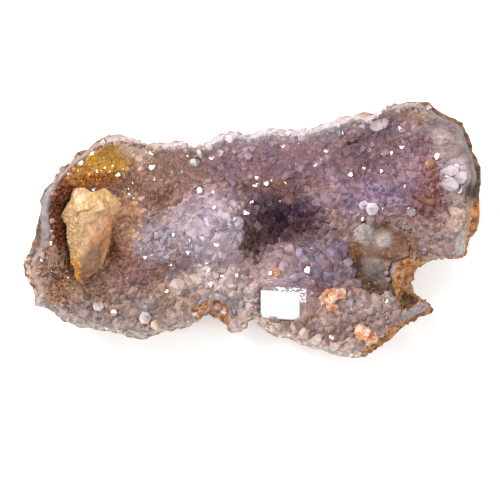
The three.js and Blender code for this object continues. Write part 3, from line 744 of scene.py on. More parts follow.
def floor_at(x, y):
    """Height of the crystal floor or the broken edge, the share of the way out, and the height
    of the dish under the crust."""
    x, y = np.asarray(x, float), np.asarray(y, float)
    angle, reach = polar(x, y)
    radius, lip, edge, fall = rim_at(angle)
    inner = radius - edge
    out = reach / inner
    across = np.clip((reach - inner) / edge, 0, 1)
    fade = 1 - smoothstep(out, 0.8, 1)
    floor = bpy.context.scene.cluster_sizes.floor_height / MM
    bowl = floor + (lip - floor) * np.minimum(out, 1) ** 2.2
    hollows = fade * sum(form[5] * swell(form, x, y) for form in HOLLOWS.values())
    mounds = fade * sum(form[5] * swell(form, x, y) for form in SWELLS.values())
    waves = 0
    for length, heading, height in RIPPLES:
        a = math.radians(heading)
        along = x * math.cos(a) + y * math.sin(a)
        waves = waves + fade * height * np.sin(2 * math.pi * along / length)
    inside = bowl + hollows + mounds + waves
    edge_z = lip - fall * across**1.4
    z = np.where(out >= 1, edge_z, inside)
    grown = (1 - smoothstep(out, 0.92, 1)) * (1 - bareness(x, y))
    depth = CRUST[0] + (CRUST[1] - CRUST[0]) * np.minimum(1, out)
    dish = np.where(out >= 1, edge_z, z + grown * (bowl + hollows - depth - z))
    dish = dish - 4 * bareness(x, y) * (1 - smoothstep(out, 0.9, 1))
    return z, out, dish


def frosting(x, y):
    """1 in the frosted quartz along the broken edge, widest at the upper right."""
    out = floor_at(x, y)[1]
    wide = smoothstep(swell(FROSTED, x, y), 0.25, 0.5) * smoothstep(out, 0.82, 0.92)
    smooth = smoothstep(sum(swell(form, x, y) for form in SMOOTH_EDGES + UNFROSTED), 0.3, 0.6)
    return np.maximum(wide, smoothstep(out, 0.9, 0.96) * (1 - smooth))


def over_edge(x, y, share):
    """The share of the way out at which so much of the broken edge's width is passed."""
    radius, _, edge, _ = rim_at(polar(x, y)[0])
    return 1 + share * edge / (radius - edge)


def fractals(x, y, layer, size, roughness, octaves):
    """Fractal noise at places, with lumps of about this size."""
    places = [Vector((a, b, layer)) / size for a, b in zip(x, y)]
    return np.array([noise.fractal(place, roughness, 2.0, octaves) for place in places])


def facing(x, y):
    """Unit normals of the crystal floor."""
    step = 1.5
    slope_x = (floor_at(x + step, y)[0] - floor_at(x - step, y)[0]) / (2 * step)
    slope_y = (floor_at(x, y + step)[0] - floor_at(x, y - step)[0]) / (2 * step)
    length = np.sqrt(slope_x**2 + slope_y**2 + 1)
    return np.column_stack([-slope_x / length, -slope_y / length, 1 / length])


def bridged(values):
    """Values round the middle with the notches bridged, as rows of angle and value."""
    angles = np.radians(np.arange(-180, 180))
    ring = np.interp(angles, RIM_ANGLE, values, period=2 * math.pi)
    turned = [np.roll(ring, k) for k in range(-BRIDGE, BRIDGE + 1)]
    widest = np.max(turned, axis=0)
    closed = np.min([np.roll(widest, k) for k in range(-BRIDGE, BRIDGE + 1)], axis=0)
    eased = np.mean([np.roll(closed, k) for k in range(-BRIDGE_EASE, BRIDGE_EASE + 1, 2)], axis=0)
    return angles, eased


# Small helpers for meshes, objects and materials


def collection():
    """The collection that the cluster's pieces go in."""
    home = bpy.data.collections.get("Amethyst Cluster")
    if home is None:
        home = bpy.data.collections.new("Amethyst Cluster")
        bpy.context.scene.collection.children.link(home)
    return home


def mesh_from(bm, name):
    """A mesh made from a bmesh, which ends here."""
    mesh = bpy.data.meshes.new(name)
    bm.to_mesh(mesh)
    bm.free()
    return mesh


def piece_from(bm, name, materials, smooth=False):
    """A bmesh in millimetres as a finished piece that rides on the frame."""
    return piece_of(mesh_from(bm, name), name, materials, smooth)


def piece_of(mesh, name, materials, smooth=False):
    """The same for a mesh."""
    mesh.transform(Matrix.Scale(MM, 4))
    for material in materials:
        mesh.materials.append(material)
    mesh.polygons.foreach_set("use_smooth", [smooth] * len(mesh.polygons))
    piece = bpy.data.objects.new(name, mesh)
    collection().objects.link(piece)
    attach(piece, "root")
    return piece


def attribute(mesh, name, values, domain="POINT"):
    """Stores rows of red, green and blue, or single values, as a mesh attribute."""
    if np.ndim(values) == 2:
        layer = mesh.attributes.new(name, "FLOAT_COLOR", domain)
        values = np.column_stack([values, np.ones(len(values))])
        layer.data.foreach_set("color", values.astype(np.float32).ravel())
    else:
        layer = mesh.attributes.new(name, "FLOAT", domain)
        layer.data.foreach_set("value", np.asarray(values, np.float32))


def keep_in_box(points):
    """Points in millimetres, none outside the box of the solids."""
    low, high = (np.array(corner) / MM for corner in CAD_BOX)
    return np.clip(points, low + 0.02, high - 0.02)


def clip_mesh(mesh):
    """Draws the vertices outside the box of the solids in to it."""
    points = np.empty(len(mesh.vertices) * 3)
    mesh.vertices.foreach_get("co", points)
    mesh.vertices.foreach_set("co", keep_in_box(points.reshape(-1, 3)).ravel())


class Nodes:
    """Helpers that add nodes to a tree."""

    def __init__(self, tree):
        self.tree = tree

    def node(self, kind, settings=None, **inputs):
        made = self.tree.nodes.new(kind)
        for key, value in (settings or {}).items():
            setattr(made, key, value)
        for key, value in inputs.items():
            self.feed(made.inputs[key.replace("_", " ")], value)
        return made

    def feed(self, socket, value):
        if isinstance(value, bpy.types.NodeSocket):
            self.tree.links.new(value, socket)
        else:
            socket.default_value = value

    def attribute(self, name, output="Fac"):
        return self.node("ShaderNodeAttribute", {"attribute_name": name}).outputs[output]

    def place(self):
        return self.node("ShaderNodeTexCoord").outputs["Object"]

    def noise(self, scale, detail=4.0, roughness=0.55, distortion=0.0, vector=None):
        made = self.node("ShaderNodeTexNoise", Scale=scale, Detail=detail, Roughness=roughness)
        made.inputs["Distortion"].default_value = distortion
        self.feed(made.inputs["Vector"], vector or self.place())
        return made.outputs["Fac"]

    def cells(self, scale, vector=None):
        made = self.node("ShaderNodeTexVoronoi", Scale=scale)
        self.feed(made.inputs["Vector"], vector or self.place())
        return made.outputs["Distance"]

    def math(self, operation, a, b=0.0, clamp=False):
        made = self.node("ShaderNodeMath", {"operation": operation, "use_clamp": clamp})
        self.feed(made.inputs[0], a)
        self.feed(made.inputs[1], b)
        return made.outputs[0]

    def range(self, value, low, high, to_low=0.0, to_high=1.0):
        made = self.node("ShaderNodeMapRange", {"interpolation_type": "SMOOTHSTEP"})
        ends = {"From Min": low, "From Max": high, "To Min": to_low, "To Max": to_high}
        for key, number in ends.items():
            made.inputs[key].default_value = number
        self.feed(made.inputs["Value"], value)
        return made.outputs["Result"]

    def mix(self, factor, a, b, blend="MIX"):
        made = self.node("ShaderNodeMix", {"data_type": "RGBA", "blend_type": blend})
        sockets = [s for s in made.inputs if s.type == "RGBA"]
        self.feed(made.inputs[0], factor)
        for socket, value in zip(sockets, (a, b)):
            self.feed(socket, value if isinstance(value, bpy.types.NodeSocket) else (*value, 1))
        return next(s for s in made.outputs if s.type == "RGBA")

    def scaled(self, colour, factor):
        """A colour made lighter or darker by a factor that changes over the surface."""
        made = self.node("ShaderNodeVectorMath", {"operation": "SCALE"})
        self.feed(made.inputs[0], colour)
        self.feed(made.inputs["Scale"], factor)
        return made.outputs[0]

    def ramp(self, factor, stops):
        made = self.node("ShaderNodeValToRGB", Fac=factor)
        elements = made.color_ramp.elements
        while len(elements) < len(stops):
            elements.new(0.5)
        for element, (position, colour) in zip(elements, stops):
            element.position = position
            element.color = (*colour, 1)
        return made.outputs["Color"]

    def bump(self, height, strength, distance):
        made = self.node("ShaderNodeBump", Height=height, Strength=strength, Distance=distance)
        return made.outputs["Normal"]

    def group(self, tree, **inputs):
        """A node group placed with its own values. Returns its outputs."""
        return self.node("ShaderNodeGroup", {"node_tree": tree}, **inputs).outputs


class Shader(Nodes):
    """A material's node tree and its Principled shader."""

    def __init__(self, name):
        self.material = bpy.data.materials.new(name)
        self.material.use_nodes = True
        super().__init__(self.material.node_tree)
        self.principled = self.tree.nodes["Principled BSDF"]

    def set(self, **inputs):
        for key, value in inputs.items():
            self.feed(self.principled.inputs[key.replace("_", " ")], value)


class Effect(Nodes):
    """A node group with named inputs and outputs."""

    def __init__(self, name, inputs, outputs):
        super().__init__(bpy.data.node_groups.new(name, "ShaderNodeTree"))
        for side, sockets in (("INPUT", inputs), ("OUTPUT", outputs)):
            for socket, kind in sockets.items():
                kind = f"NodeSocket{kind}"
                self.tree.interface.new_socket(name=socket, in_out=side, socket_type=kind)
        self.given = self.tree.nodes.new("NodeGroupInput").outputs
        self.result = self.tree.nodes.new("NodeGroupOutput").inputs


# Materials


def crystal_colour():
    """Colour and frosting of quartz: cloudy inside, deeper at the tips, with painted light and
    iron in the joints.
    """
    tree = bpy.data.node_groups.get("crystal colour")
    if tree:
        return tree
    inputs = {"Place": "Vector", "Tint": "Color", "Iron": "Color"}
    inputs |= {"Rise": "Float", "Stain": "Float", "Tone": "Float"}
    e = Effect("crystal colour", inputs, {"Color": "Color", "Frost": "Float"})
    given = e.given
    mottle = e.noise(1300, 4, 0.65, vector=given["Place"])
    speck = e.noise(2500, 2, 0.5, vector=given["Place"])
    veil = e.noise(430, 4, 0.6, 0.4, vector=given["Place"])
    tone = e.range(given["Tone"], 0, 1, 0.78, 1.2)
    light = e.math("MULTIPLY", e.range(mottle, 0.3, 0.7, 0.8, 1.2), tone)
    # Lighter low on the points, towards the joints: painted light that lifts the shade there.
    # Darker at the tips, where the colour runs deeper.
    deep = e.math("MULTIPLY", light, e.range(given["Rise"], 0.1, 0.95, 1.35, 0.76))
    grain = e.math("MULTIPLY", deep, e.range(speck, 0.3, 0.7, 0.84, 1.16))
    hazy = e.math("MULTIPLY", grain, e.range(veil, 0.48, 0.72, 1.0, 1.25))
    tip = e.range(given["Rise"], 0.45, 0.95)
    cool = e.mix(tip, e.scaled(given["Tint"], hazy), (0.92, 0.97, 1.14), "MULTIPLY")
    joint = e.math("MULTIPLY", e.range(given["Rise"], 0.8, 0.1), given["Stain"], clamp=True)
    rusty = e.math("MULTIPLY", joint, e.range(mottle, 0.35, 0.6, 0.3, 1.0))
    dust = e.math("MULTIPLY", e.range(speck, 0.52, 0.66, 0.0, 0.75), given["Stain"])
    e.feed(e.result["Color"], e.mix(e.math("MAXIMUM", rusty, dust), cool, given["Iron"]))
    e.feed(e.result["Frost"], e.range(veil, 0.35, 0.7))
    return e.tree


def crystal(s, rise, tone):
    """The shared colour and frosting of quartz, placed in a material."""
    return s.group(
        crystal_colour(),
        Place=s.place(),
        Tint=s.attribute("tint", "Color"),
        Iron=(*bpy.context.scene.cluster_colours.iron, 1),
        Rise=rise,
        Stain=s.attribute("stain"),
        Tone=tone,
    )


def quartz_material(name, transmission, roughness):
    """Quartz points in their own tint."""
    s = Shader(name)
    quartz = crystal(s, s.attribute("rise"), s.attribute("tone"))
    clear = s.node("ShaderNodeGamma", Color=quartz["Color"], Gamma=0.85)
    s.set(
        Base_Color=clear.outputs["Color"],
        Roughness=s.range(quartz["Frost"], 0, 1, roughness * 0.5, roughness * 2.4),
        IOR=1.544,
        Transmission_Weight=transmission,
    )
    return s.material


def root_material():
    """The cloudy roots that the clear tips grow from."""
    made = bpy.data.materials.get("cloudy root")
    if made:
        return made
    s = Shader("cloudy root")
    quartz = crystal(s, 0.6, s.attribute("tone"))
    milky = s.node("ShaderNodeGamma", Color=quartz["Color"], Gamma=0.7)
    s.set(
        Base_Color=milky.outputs["Color"],
        Roughness=s.range(quartz["Frost"], 0, 1, 0.3, 0.6),
        IOR=1.544,
    )
    return s.material


def bed_material():
    """The floor between the points: iron-stained small quartz."""
    s = Shader("druse bed")
    grains = s.cells(1100)
    rise = s.range(grains, 0.1, 0.5, 0.9, 0.2)
    s.set(
        Base_Color=crystal(s, rise, s.range(grains, 0.0, 0.6, 1.0, 0.0))["Color"],
        Roughness=0.4,
        IOR=1.544,
        Normal=s.bump(grains, 0.8, 0.0006),
    )
    return s.material


def frost_material():
    """Frosted quartz: mottled, with faint fibres and pale specks."""
    s = Shader("frosted quartz")
    tint = s.attribute("tint", "Color")
    fibre = s.noise(0.9, 5, 0.65, 0.5, vector=s.attribute("fibre", "Color"))
    cloud = s.noise(260, 5, 0.65, 0.8)
    specks = s.noise(1500, 3, 0.6)
    streaks = s.range(fibre, 0.3, 0.7, 0.82, 1.2)
    shade = s.math("MULTIPLY", s.range(cloud, 0.3, 0.7, 0.74, 1.25), streaks)
    body = s.scaled(tint, s.math("MULTIPLY", shade, s.range(specks, 0.54, 0.7, 1.0, 1.6)))
    brown = s.math("MULTIPLY", s.range(s.noise(420, 5, 0.7), 0.5, 0.64), s.attribute("stain"))
    dull = s.range(tint, 0.04, 0.16, 0.9, 0.2)
    s.set(
        Base_Color=s.mix(s.math("MULTIPLY", brown, 1.4, clamp=True), body, (0.30, 0.15, 0.08)),
        Roughness=s.math("MAXIMUM", s.range(cloud, 0.3, 0.7, 0.2, 0.5), dull),
        IOR=1.544,
        Transmission_Weight=0.2,
        Normal=s.bump(s.math("ADD", s.noise(900, 5, 0.7), fibre), 0.6, 0.0008),
    )
    return s.material


def pocket_material():
    """Cloudy grey chalcedony under a dust of tiny quartz, iron-brown in its creases."""
    s = Shader("cloudy chalcedony")
    tint = s.attribute("tint", "Color")
    dust = s.noise(1700, 3, 0.7)
    cloud = s.noise(330, 6, 0.7, 0.5)
    soft = s.scaled(tint, s.range(cloud, 0.3, 0.7, 0.68, 1.3))
    brown = s.math("MULTIPLY", s.range(s.noise(420, 6, 0.7), 0.5, 0.62), s.attribute("stain"))
    stained = s.mix(brown, soft, (0.20, 0.075, 0.02))
    s.set(
        Base_Color=s.scaled(stained, s.range(dust, 0.35, 0.68, 0.72, 1.6)),
        Roughness=0.5,
        IOR=1.54,
        Subsurface_Weight=0.15,
        Subsurface_Radius=(1.0, 0.95, 0.9),
        Subsurface_Scale=0.0008,
        Normal=s.bump(dust, 0.7, 0.0006),
    )
    return s.material


def limonite_colour():
    """Golden-brown limonite crumbs with dark pits."""
    tree = bpy.data.node_groups.get("limonite colour")
    if tree:
        return tree
    e = Effect("limonite colour", {"Place": "Vector", "Damp": "Float"}, {"Color": "Color"})
    place = e.given["Place"]
    crumbs = e.math("MULTIPLY", e.cells(620, vector=place), 0.22)
    rubble = e.math("ADD", e.noise(520, 6, 0.72, vector=place), crumbs)
    ochre = e.ramp(
        rubble,
        [
            (0.42, (0.03, 0.008, 0.002)),
            (0.52, (0.16, 0.05, 0.010)),
            (0.62, (0.38, 0.15, 0.04)),
            (0.76, (0.50, 0.29, 0.14)),
        ],
    )
    # The darkening input makes the colour darker: painted shade in the limonite's hollow, a duller
    # ochre on the shell.
    e.feed(e.result["Color"], e.scaled(ochre, e.range(e.given["Damp"], 0, 1, 1.0, 0.25)))
    return e.tree


def agate_material():
    """Blue-grey agate with faint bands."""
    s = Shader("agate")
    drift = s.noise(260, 4, 0.6, 0.4)
    greys = [(0.35, (0.14, 0.11, 0.12)), (0.5, (0.20, 0.17, 0.18)), (0.65, (0.30, 0.25, 0.25))]
    s.set(
        Base_Color=s.ramp(drift, greys),
        Roughness=0.3,
        IOR=1.54,
        Normal=s.bump(drift, 0.3, 0.0004),
    )
    return s.material


def limonite_material():
    """Crumbly limonite, with painted shade in its hollow."""
    s = Shader("limonite")
    s.set(
        Base_Color=s.group(limonite_colour(), Place=s.place(), Damp=s.attribute("hollow_shade"))["Color"],
        Roughness=0.85,
        Normal=s.bump(s.noise(900, 5, 0.7), 0.6, 0.0006),
    )
    return s.material


def grain_material():
    """Dull iron grains."""
    s = Shader("iron grains")
    crumbs = s.noise(1500, 4, 0.7)
    s.set(
        Base_Color=s.scaled(s.attribute("tint", "Color"), s.range(crumbs, 0.3, 0.7, 0.6, 1.5)),
        Roughness=0.75,
        Specular_IOR_Level=0.25,
        Normal=s.bump(crumbs, 0.6, 0.0004),
    )
    return s.material


def rind_material():
    """The shell: chalcedony inside, banded agate at the broken edge and a brown rind outside."""
    s = Shader("chalcedony and rind")
    band = s.attribute("band")
    rust = s.attribute("rust")
    agate = s.attribute("agate", "Color")
    rind = s.attribute("rind", "Color")
    drift = s.math("MULTIPLY", s.math("SUBTRACT", s.noise(160, 5), 0.5), 0.55)
    across = s.math("ADD", band, drift)
    bands = s.ramp(
        across,
        [
            (0.0, (0.80, 0.72, 0.66)),
            (0.25, (1.0, 1.0, 1.0)),
            (0.45, (0.80, 0.82, 0.86)),
            (0.6, (1.0, 1.0, 1.0)),
            (0.75, (0.82, 0.82, 0.84)),
            (0.86, (1.0, 0.9, 0.75)),
        ],
    )
    layered = s.mix(1.0, agate, bands, "MULTIPLY")
    lines = s.math("SINE", s.math("MULTIPLY", across, 42.0))
    banded = s.scaled(layered, s.range(lines, 0.2, 1.0, 1.0, 1.35))
    crumbs = s.noise(380, 6, 0.7)
    skin = s.scaled(rind, s.range(crumbs, 0.38, 0.62, 0.22, 1.6))
    mottled = s.scaled(banded, s.range(s.noise(520, 5, 0.65, 0.4), 0.3, 0.7, 0.72, 1.22))
    edge = s.mix(s.range(across, 0.8, 0.95), mottled, skin)
    milky = s.ramp(
        s.noise(95, 5, 0.6, 0.6),
        [
            (0.3, (0.13, 0.07, 0.035)),
            (0.43, (0.20, 0.14, 0.10)),
            (0.53, (0.24, 0.20, 0.165)),
            (0.68, (0.31, 0.29, 0.26)),
        ],
    )
    inside = s.mix(s.range(band, -0.12, -0.02), milky, edge)
    crust = s.ramp(
        s.noise(230, 7, 0.65),
        [
            (0.3, (0.09, 0.04, 0.02)),
            (0.45, tuple(bpy.context.scene.cluster_colours.rind)),
            (0.55, (0.34, 0.17, 0.07)),
            (0.7, (0.40, 0.28, 0.19)),
        ],
    )
    outside = s.mix(s.range(band, 1.5, 2.6), inside, crust)
    ochre = s.group(limonite_colour(), Place=s.place(), Damp=0.15)["Color"]
    dull = s.range(agate, 0.04, 0.16, 0.9, 0.3)
    s.set(
        Base_Color=s.mix(s.range(rust, 0.3, 0.6), outside, ochre),
        Roughness=s.math("MAXIMUM", s.range(band, 0.8, 1.05, 0.3, 0.85), dull),
        IOR=1.54,
        Normal=s.bump(s.noise(700, 6, 0.65), 0.5, 0.0008),
    )
    return s.material


def calcite_material():
    """Waxy tan calcite, grainy where it is sugary."""
    s = Shader("calcite")
    sugar = s.attribute("sugar")
    grains = s.cells(900)
    cloud = s.noise(300, 5, 0.65, 0.6)
    long = s.node("ShaderNodeMapping", Vector=s.place(), Scale=(1, 0.35, 0.6)).outputs[0]
    streaks = s.range(s.noise(900, 5, 0.7, vector=long), 0.35, 0.65, 0.8, 1.18)
    shade = s.math("MULTIPLY", s.range(cloud, 0.3, 0.7, 0.76, 1.22), streaks)
    body = s.scaled(s.attribute("tint", "Color"), shade)
    veins = s.range(s.noise(170, 5, 0.6, 0.8), 0.52, 0.7, 0.0, 0.35)
    milky = s.mix(veins, body, (0.60, 0.44, 0.32))
    height = s.math("ADD", s.math("MULTIPLY", grains, sugar), s.noise(600, 4))
    pits = s.math("MULTIPLY", s.range(grains, 0.35, 0.62), sugar)
    glints = s.math("MULTIPLY", s.range(grains, 0.2, 0.05), sugar)
    rough = s.mix(s.math("MULTIPLY", pits, 0.45), milky, (0.28, 0.15, 0.05))
    s.set(
        Base_Color=s.mix(s.math("MULTIPLY", glints, 0.6), rough, (0.80, 0.72, 0.52)),
        Roughness=s.range(sugar, 0, 1, 0.33, 0.55),
        IOR=1.6,
        Subsurface_Weight=0.25,
        Subsurface_Radius=(1.0, 0.6, 0.3),
        Subsurface_Scale=0.0012,
        Normal=s.bump(height, 0.6, 0.0007),
    )
    return s.material


def spar_material():
    """Orange spar crystals."""
    s = Shader("orange spar")
    s.set(
        Base_Color=s.ramp(
            s.noise(350, 4, 0.6, 0.4),
            [(0.36, (0.44, 0.13, 0.04)), (0.48, (0.52, 0.22, 0.10)), (0.6, (0.60, 0.46, 0.38))],
        ),
        Roughness=0.35,
        IOR=1.6,
        Subsurface_Weight=0.2,
        Subsurface_Radius=(1.0, 0.5, 0.3),
        Subsurface_Scale=0.001,
        Normal=s.bump(s.noise(900, 3), 0.35, 0.0004),
    )
    return s.material


def paper_material():
    """White paper with faint fibres."""
    colours = bpy.context.scene.cluster_colours
    s = Shader("paper")
    fibres = s.noise(2500, 3)
    pale = s.range(fibres, 0.3, 0.7, 0.0, 0.08)
    s.set(
        Base_Color=s.mix(pale, tuple(colours.paper), (0.7, 0.7, 0.74)),
        Roughness=0.55,
        Normal=s.bump(fibres, 0.1, 0.0001),
    )
    return s.material


def tape_material():
    """Clear film, with painted white glare along the crinkles of its creased edges."""
    s = Shader("clear tape")
    # Painted glare: the film turns opaque white along the crinkles near its top and right edges.
    ridge = s.math("ABSOLUTE", s.math("SUBTRACT", s.noise(380, 3, 0.5, 1.0), 0.5))
    glare_crinkles = s.range(ridge, 0.015, 0.05, 1.0, 0.0)
    s.set(
        Base_Color=(0.95, 0.95, 0.97, 1),
        Roughness=s.range(s.noise(300, 3), 0.3, 0.7, 0.04, 0.14),
        IOR=1.5,
        Alpha=s.math("ADD", 0.06, s.math("MULTIPLY", s.attribute("crease_glare"), glare_crinkles)),
        Normal=s.bump(s.noise(260, 3, 0.5, 0.5), 0.4, 0.0006),
    )
    return s.material


def floor_material():
    """The pale floor of the stage."""
    s = Shader("pale floor")
    s.set(
        Base_Color=(0.93, 0.93, 0.93, 1),
        Roughness=0.7,
        Emission_Color=(1, 1, 1, 1),
        Emission_Strength=0.16,
    )
    return s.material


# Shapes shared by several pieces


def dish_mesh(columns, place):
    """A closed sphere of rows whose vertices go to place[row, column]. Returns the bmesh with the
    row and the column of each vertex."""
    rows = len(place) - 1
    bm = bmesh.new()
    bmesh.ops.create_uvsphere(bm, u_segments=columns, v_segments=rows, radius=1)
    where = []
    for vert in bm.verts:
        row = round(math.acos(max(-1.0, min(1.0, vert.co.z))) / math.pi * rows)
        column = round(math.atan2(vert.co.y, vert.co.x) / (2 * math.pi) * columns) % columns
        where.append((row, column))
        vert.co = place[row, column]
    return bm, np.array(where)


def sheet_over(grids, keep):
    """Fine grids, given as middle, width and depth, without the places that fail a test. Returns
    the bmesh with the x and y of its vertices."""
    bm = bmesh.new()
    for cx, cy, width, depth in grids:
        across, along = int(width / SHEET_STEP), int(depth / SHEET_STEP)
        grid = bmesh.ops.create_grid(bm, x_segments=across, y_segments=along, size=0.5)["verts"]
        bmesh.ops.scale(bm, vec=(width, depth, 1), verts=grid)
        bmesh.ops.translate(bm, vec=(cx, cy, 0), verts=grid)
    kept = keep(*np.array([v.co[:2] for v in bm.verts]).T)
    bmesh.ops.delete(bm, geom=[v for v, k in zip(bm.verts, kept) if not k], context="VERTS")
    bmesh.ops.delete(bm, geom=[v for v in bm.verts if not v.link_faces], context="VERTS")
    if not bm.faces:
        raise RuntimeError("No place on the floor passes the test of this sheet.")
    return bm, *np.array([v.co[:2] for v in bm.verts]).T


def thicken(bm, heights):
    """Lifts a flat sheet to its heights and gives it a millimetre of thickness below."""
    for vert, height in zip(bm.verts, heights):
        vert.co.z = height
    up = sum(f.normal.z for f in bm.faces) > 0
    bmesh.ops.solidify(bm, geom=bm.faces[:], thickness=1.0 if up else -1.0)
    bmesh.ops.recalc_face_normals(bm, faces=bm.faces)


def rim_rows(t):
    """The rim's values at places along it, counted in points of its curve."""
    index = t.astype(int)
    share = (t - index)[:, None]
    return RIM_CURVE[index] * (1 - share) + RIM_CURVE[(index + 1) % len(RIM_CURVE)] * share


def rim_columns(columns):
    """The rim's values for each column, counter-clockwise."""
    return rim_rows((-np.arange(columns) / columns * len(RIM_CURVE)) % len(RIM_CURVE))


def point_template(name, seed):
    """A six-sided quartz point of radius 1 along +Z with its shoulder at 0. Its tip's faces are
    uneven, as the real ones are."""
    rng = random.Random(seed)
    height = rng.uniform(0.95, 1.2)
    bm = bmesh.new()
    bmesh.ops.create_cone(bm, cap_ends=True, segments=6, radius1=1, radius2=0, depth=height)
    bmesh.ops.translate(bm, vec=(0, 0, height / 2), verts=bm.verts)
    base = [f for f in bm.faces if f.normal.z < -0.9]
    root = bmesh.ops.extrude_face_region(bm, geom=base)["geom"]
    sunk = [v for v in root if isinstance(v, bmesh.types.BMVert)]
    bmesh.ops.translate(bm, vec=(0, 0, -0.6), verts=sunk)
    bmesh.ops.scale(bm, vec=(0.9, 0.9, 1), verts=sunk)
    bmesh.ops.delete(bm, geom=base, context="FACES_ONLY")
    steep = math.atan2(height, math.cos(math.radians(30)))
    for k in rng.sample(range(6), rng.choice((2, 3, 3))):
        a = math.radians(60 * k + 60)
        flat = math.sin(steep)
        normal = Vector((math.cos(a) * flat, math.sin(a) * flat, math.cos(steep))).normalized()
        inset = rng.uniform(0.08, 0.34)
        on_face = Vector((0, 0, height)) - normal * inset
        cut = bmesh.ops.bisect_plane(
            bm,
            geom=bm.verts[:] + bm.edges[:] + bm.faces[:],
            plane_co=on_face,
            plane_no=normal,
            clear_outer=True,
        )
        edges = [e for e in cut["geom_cut"] if isinstance(e, bmesh.types.BMEdge)]
        bmesh.ops.contextual_create(bm, geom=edges)
    bmesh.ops.recalc_face_normals(bm, faces=bm.faces)
    for face in bm.faces:
        face.material_index = int(face.calc_center_median().z < -0.1)
    return mesh_from(bm, name)


def stood(foot, axis, spin, size):
    """The matrix that stands a point's shape on a place, along an axis."""
    return (
        Matrix.Translation(foot)
        @ axis.to_track_quat("Z", "Y").to_matrix().to_4x4()
        @ Matrix.Rotation(spin, 4, "Z")
        @ Matrix.Diagonal((*size, 1))
    )


def gather(parts, name):
    """One joined mesh from rows of template, matrix and a dict of values for its attributes."""
    bm = bmesh.new()
    for template, matrix, _ in parts:
        copy = template.copy()
        copy.transform(matrix)
        bm.from_mesh(copy)
        bpy.data.meshes.remove(copy)
    # A fixed order, so that each face gets the same tone in every run.
    slant = Vector((0.61, 0.73, 0.31))
    bm.faces.sort(key=lambda face: slant.dot(face.calc_center_median()))
    mesh = mesh_from(bm, name)
    rise = [np.array([v.co.z for v in template.vertices]) for template, _, _ in parts]
    sizes = [len(template.vertices) for template, _, _ in parts]
    attribute(mesh, "rise", np.concatenate(rise))
    tints = np.repeat([row["tint"] for _, _, row in parts], sizes, axis=0)
    attribute(mesh, "tint", tints)
    stains = np.repeat([row["stain"] for _, _, row in parts], sizes)
    attribute(mesh, "stain", stains)
    rng = np.random.default_rng(len(parts))
    attribute(mesh, "tone", rng.random(len(mesh.polygons)), "FACE")
    clip_mesh(mesh)
    return mesh


def patch_values(x, y, patches=PATCHES):
    """Tint, stain and size factor of the druse at places."""
    x, y = np.asarray(x, float), np.asarray(y, float)
    total = np.full(x.shape, 0.06)
    tint = np.array(GROUND_TINT)[None] * total[:, None]
    stain = GROUND_STAIN * total
    size = 1.0 * total
    for patch in patches.values():
        weight = swell(patch, x, y) ** 2.5 * (patch[8] if len(patch) > 8 else 1)
        tint = tint + weight[:, None] * np.array(patch[5])
        stain = stain + weight * patch[6]
        size = size + weight * patch[7]
        total = total + weight
    return tint / total[:, None], stain / total, size / total


def scatter(spacing, seed, tries, taken):
    """Places on the floor that keep their distance from each other and from those taken."""
    rng = random.Random(seed)
    xs = np.array([rng.uniform(-90, 90) for _ in range(tries)])
    ys = np.array([rng.uniform(-50, 50) for _ in range(tries)])
    sizes = patch_values(xs, ys)[2] * spacing
    _, out, _ = floor_at(xs, ys)
    bare = bareness(xs, ys)
    cells = {}
    for x, y, size in taken:
        cells.setdefault((int(x // CELL), int(y // CELL)), []).append((x, y, size))
    kept = []
    sizes = sizes * (1 - 0.55 * bare)
    for x, y, size, o, b in zip(xs, ys, sizes, out, bare):
        if o > 0.985 or b > rng.uniform(0.12, 0.6):
            continue
        column, row = int(x // CELL), int(y // CELL)
        around = [(column + i, row + j) for i in (-1, 0, 1) for j in (-1, 0, 1)]
        near = (p for cell in around for p in cells.get(cell, ()))
        if all(math.hypot(p[0] - x, p[1] - y) > (p[2] + size) / 2 for p in near):
            kept.append((x, y, size))
            cells.setdefault((column, row), []).append((x, y, size))
    return kept


def over_label(x, y):
    """Whether a place lies under the label or its tape."""
    lx, ly, width, depth, _ = LABEL
    return abs(x - lx - 1) < width / 2 + 2.2 and abs(y - ly - 1) < depth / 2 + 2.0


def outline_of(corners, shrink):
    """Triangles that cover a convex form seen from above, drawn in towards its middle."""
    flat = [Vector(corner[:2]) for corner in corners]
    ring = [flat[i] for i in geometry.convex_hull_2d(flat)]
    middle = sum(ring, Vector((0, 0))) / len(ring)
    ring = [middle + (p - middle) * (1 - shrink / max(0.1, (p - middle).length)) for p in ring]
    return [(middle, ring[i - 1], ring[i]) for i in range(len(ring))]


CALCITE_COVER = [t for part in CALCITE.values() for t in outline_of(part, 0.6)]


def in_calcite(x, y):
    """Whether a place lies under the calcite."""
    return any(geometry.intersect_point_tri_2d(Vector((x, y)), *t) for t in CALCITE_COVER)


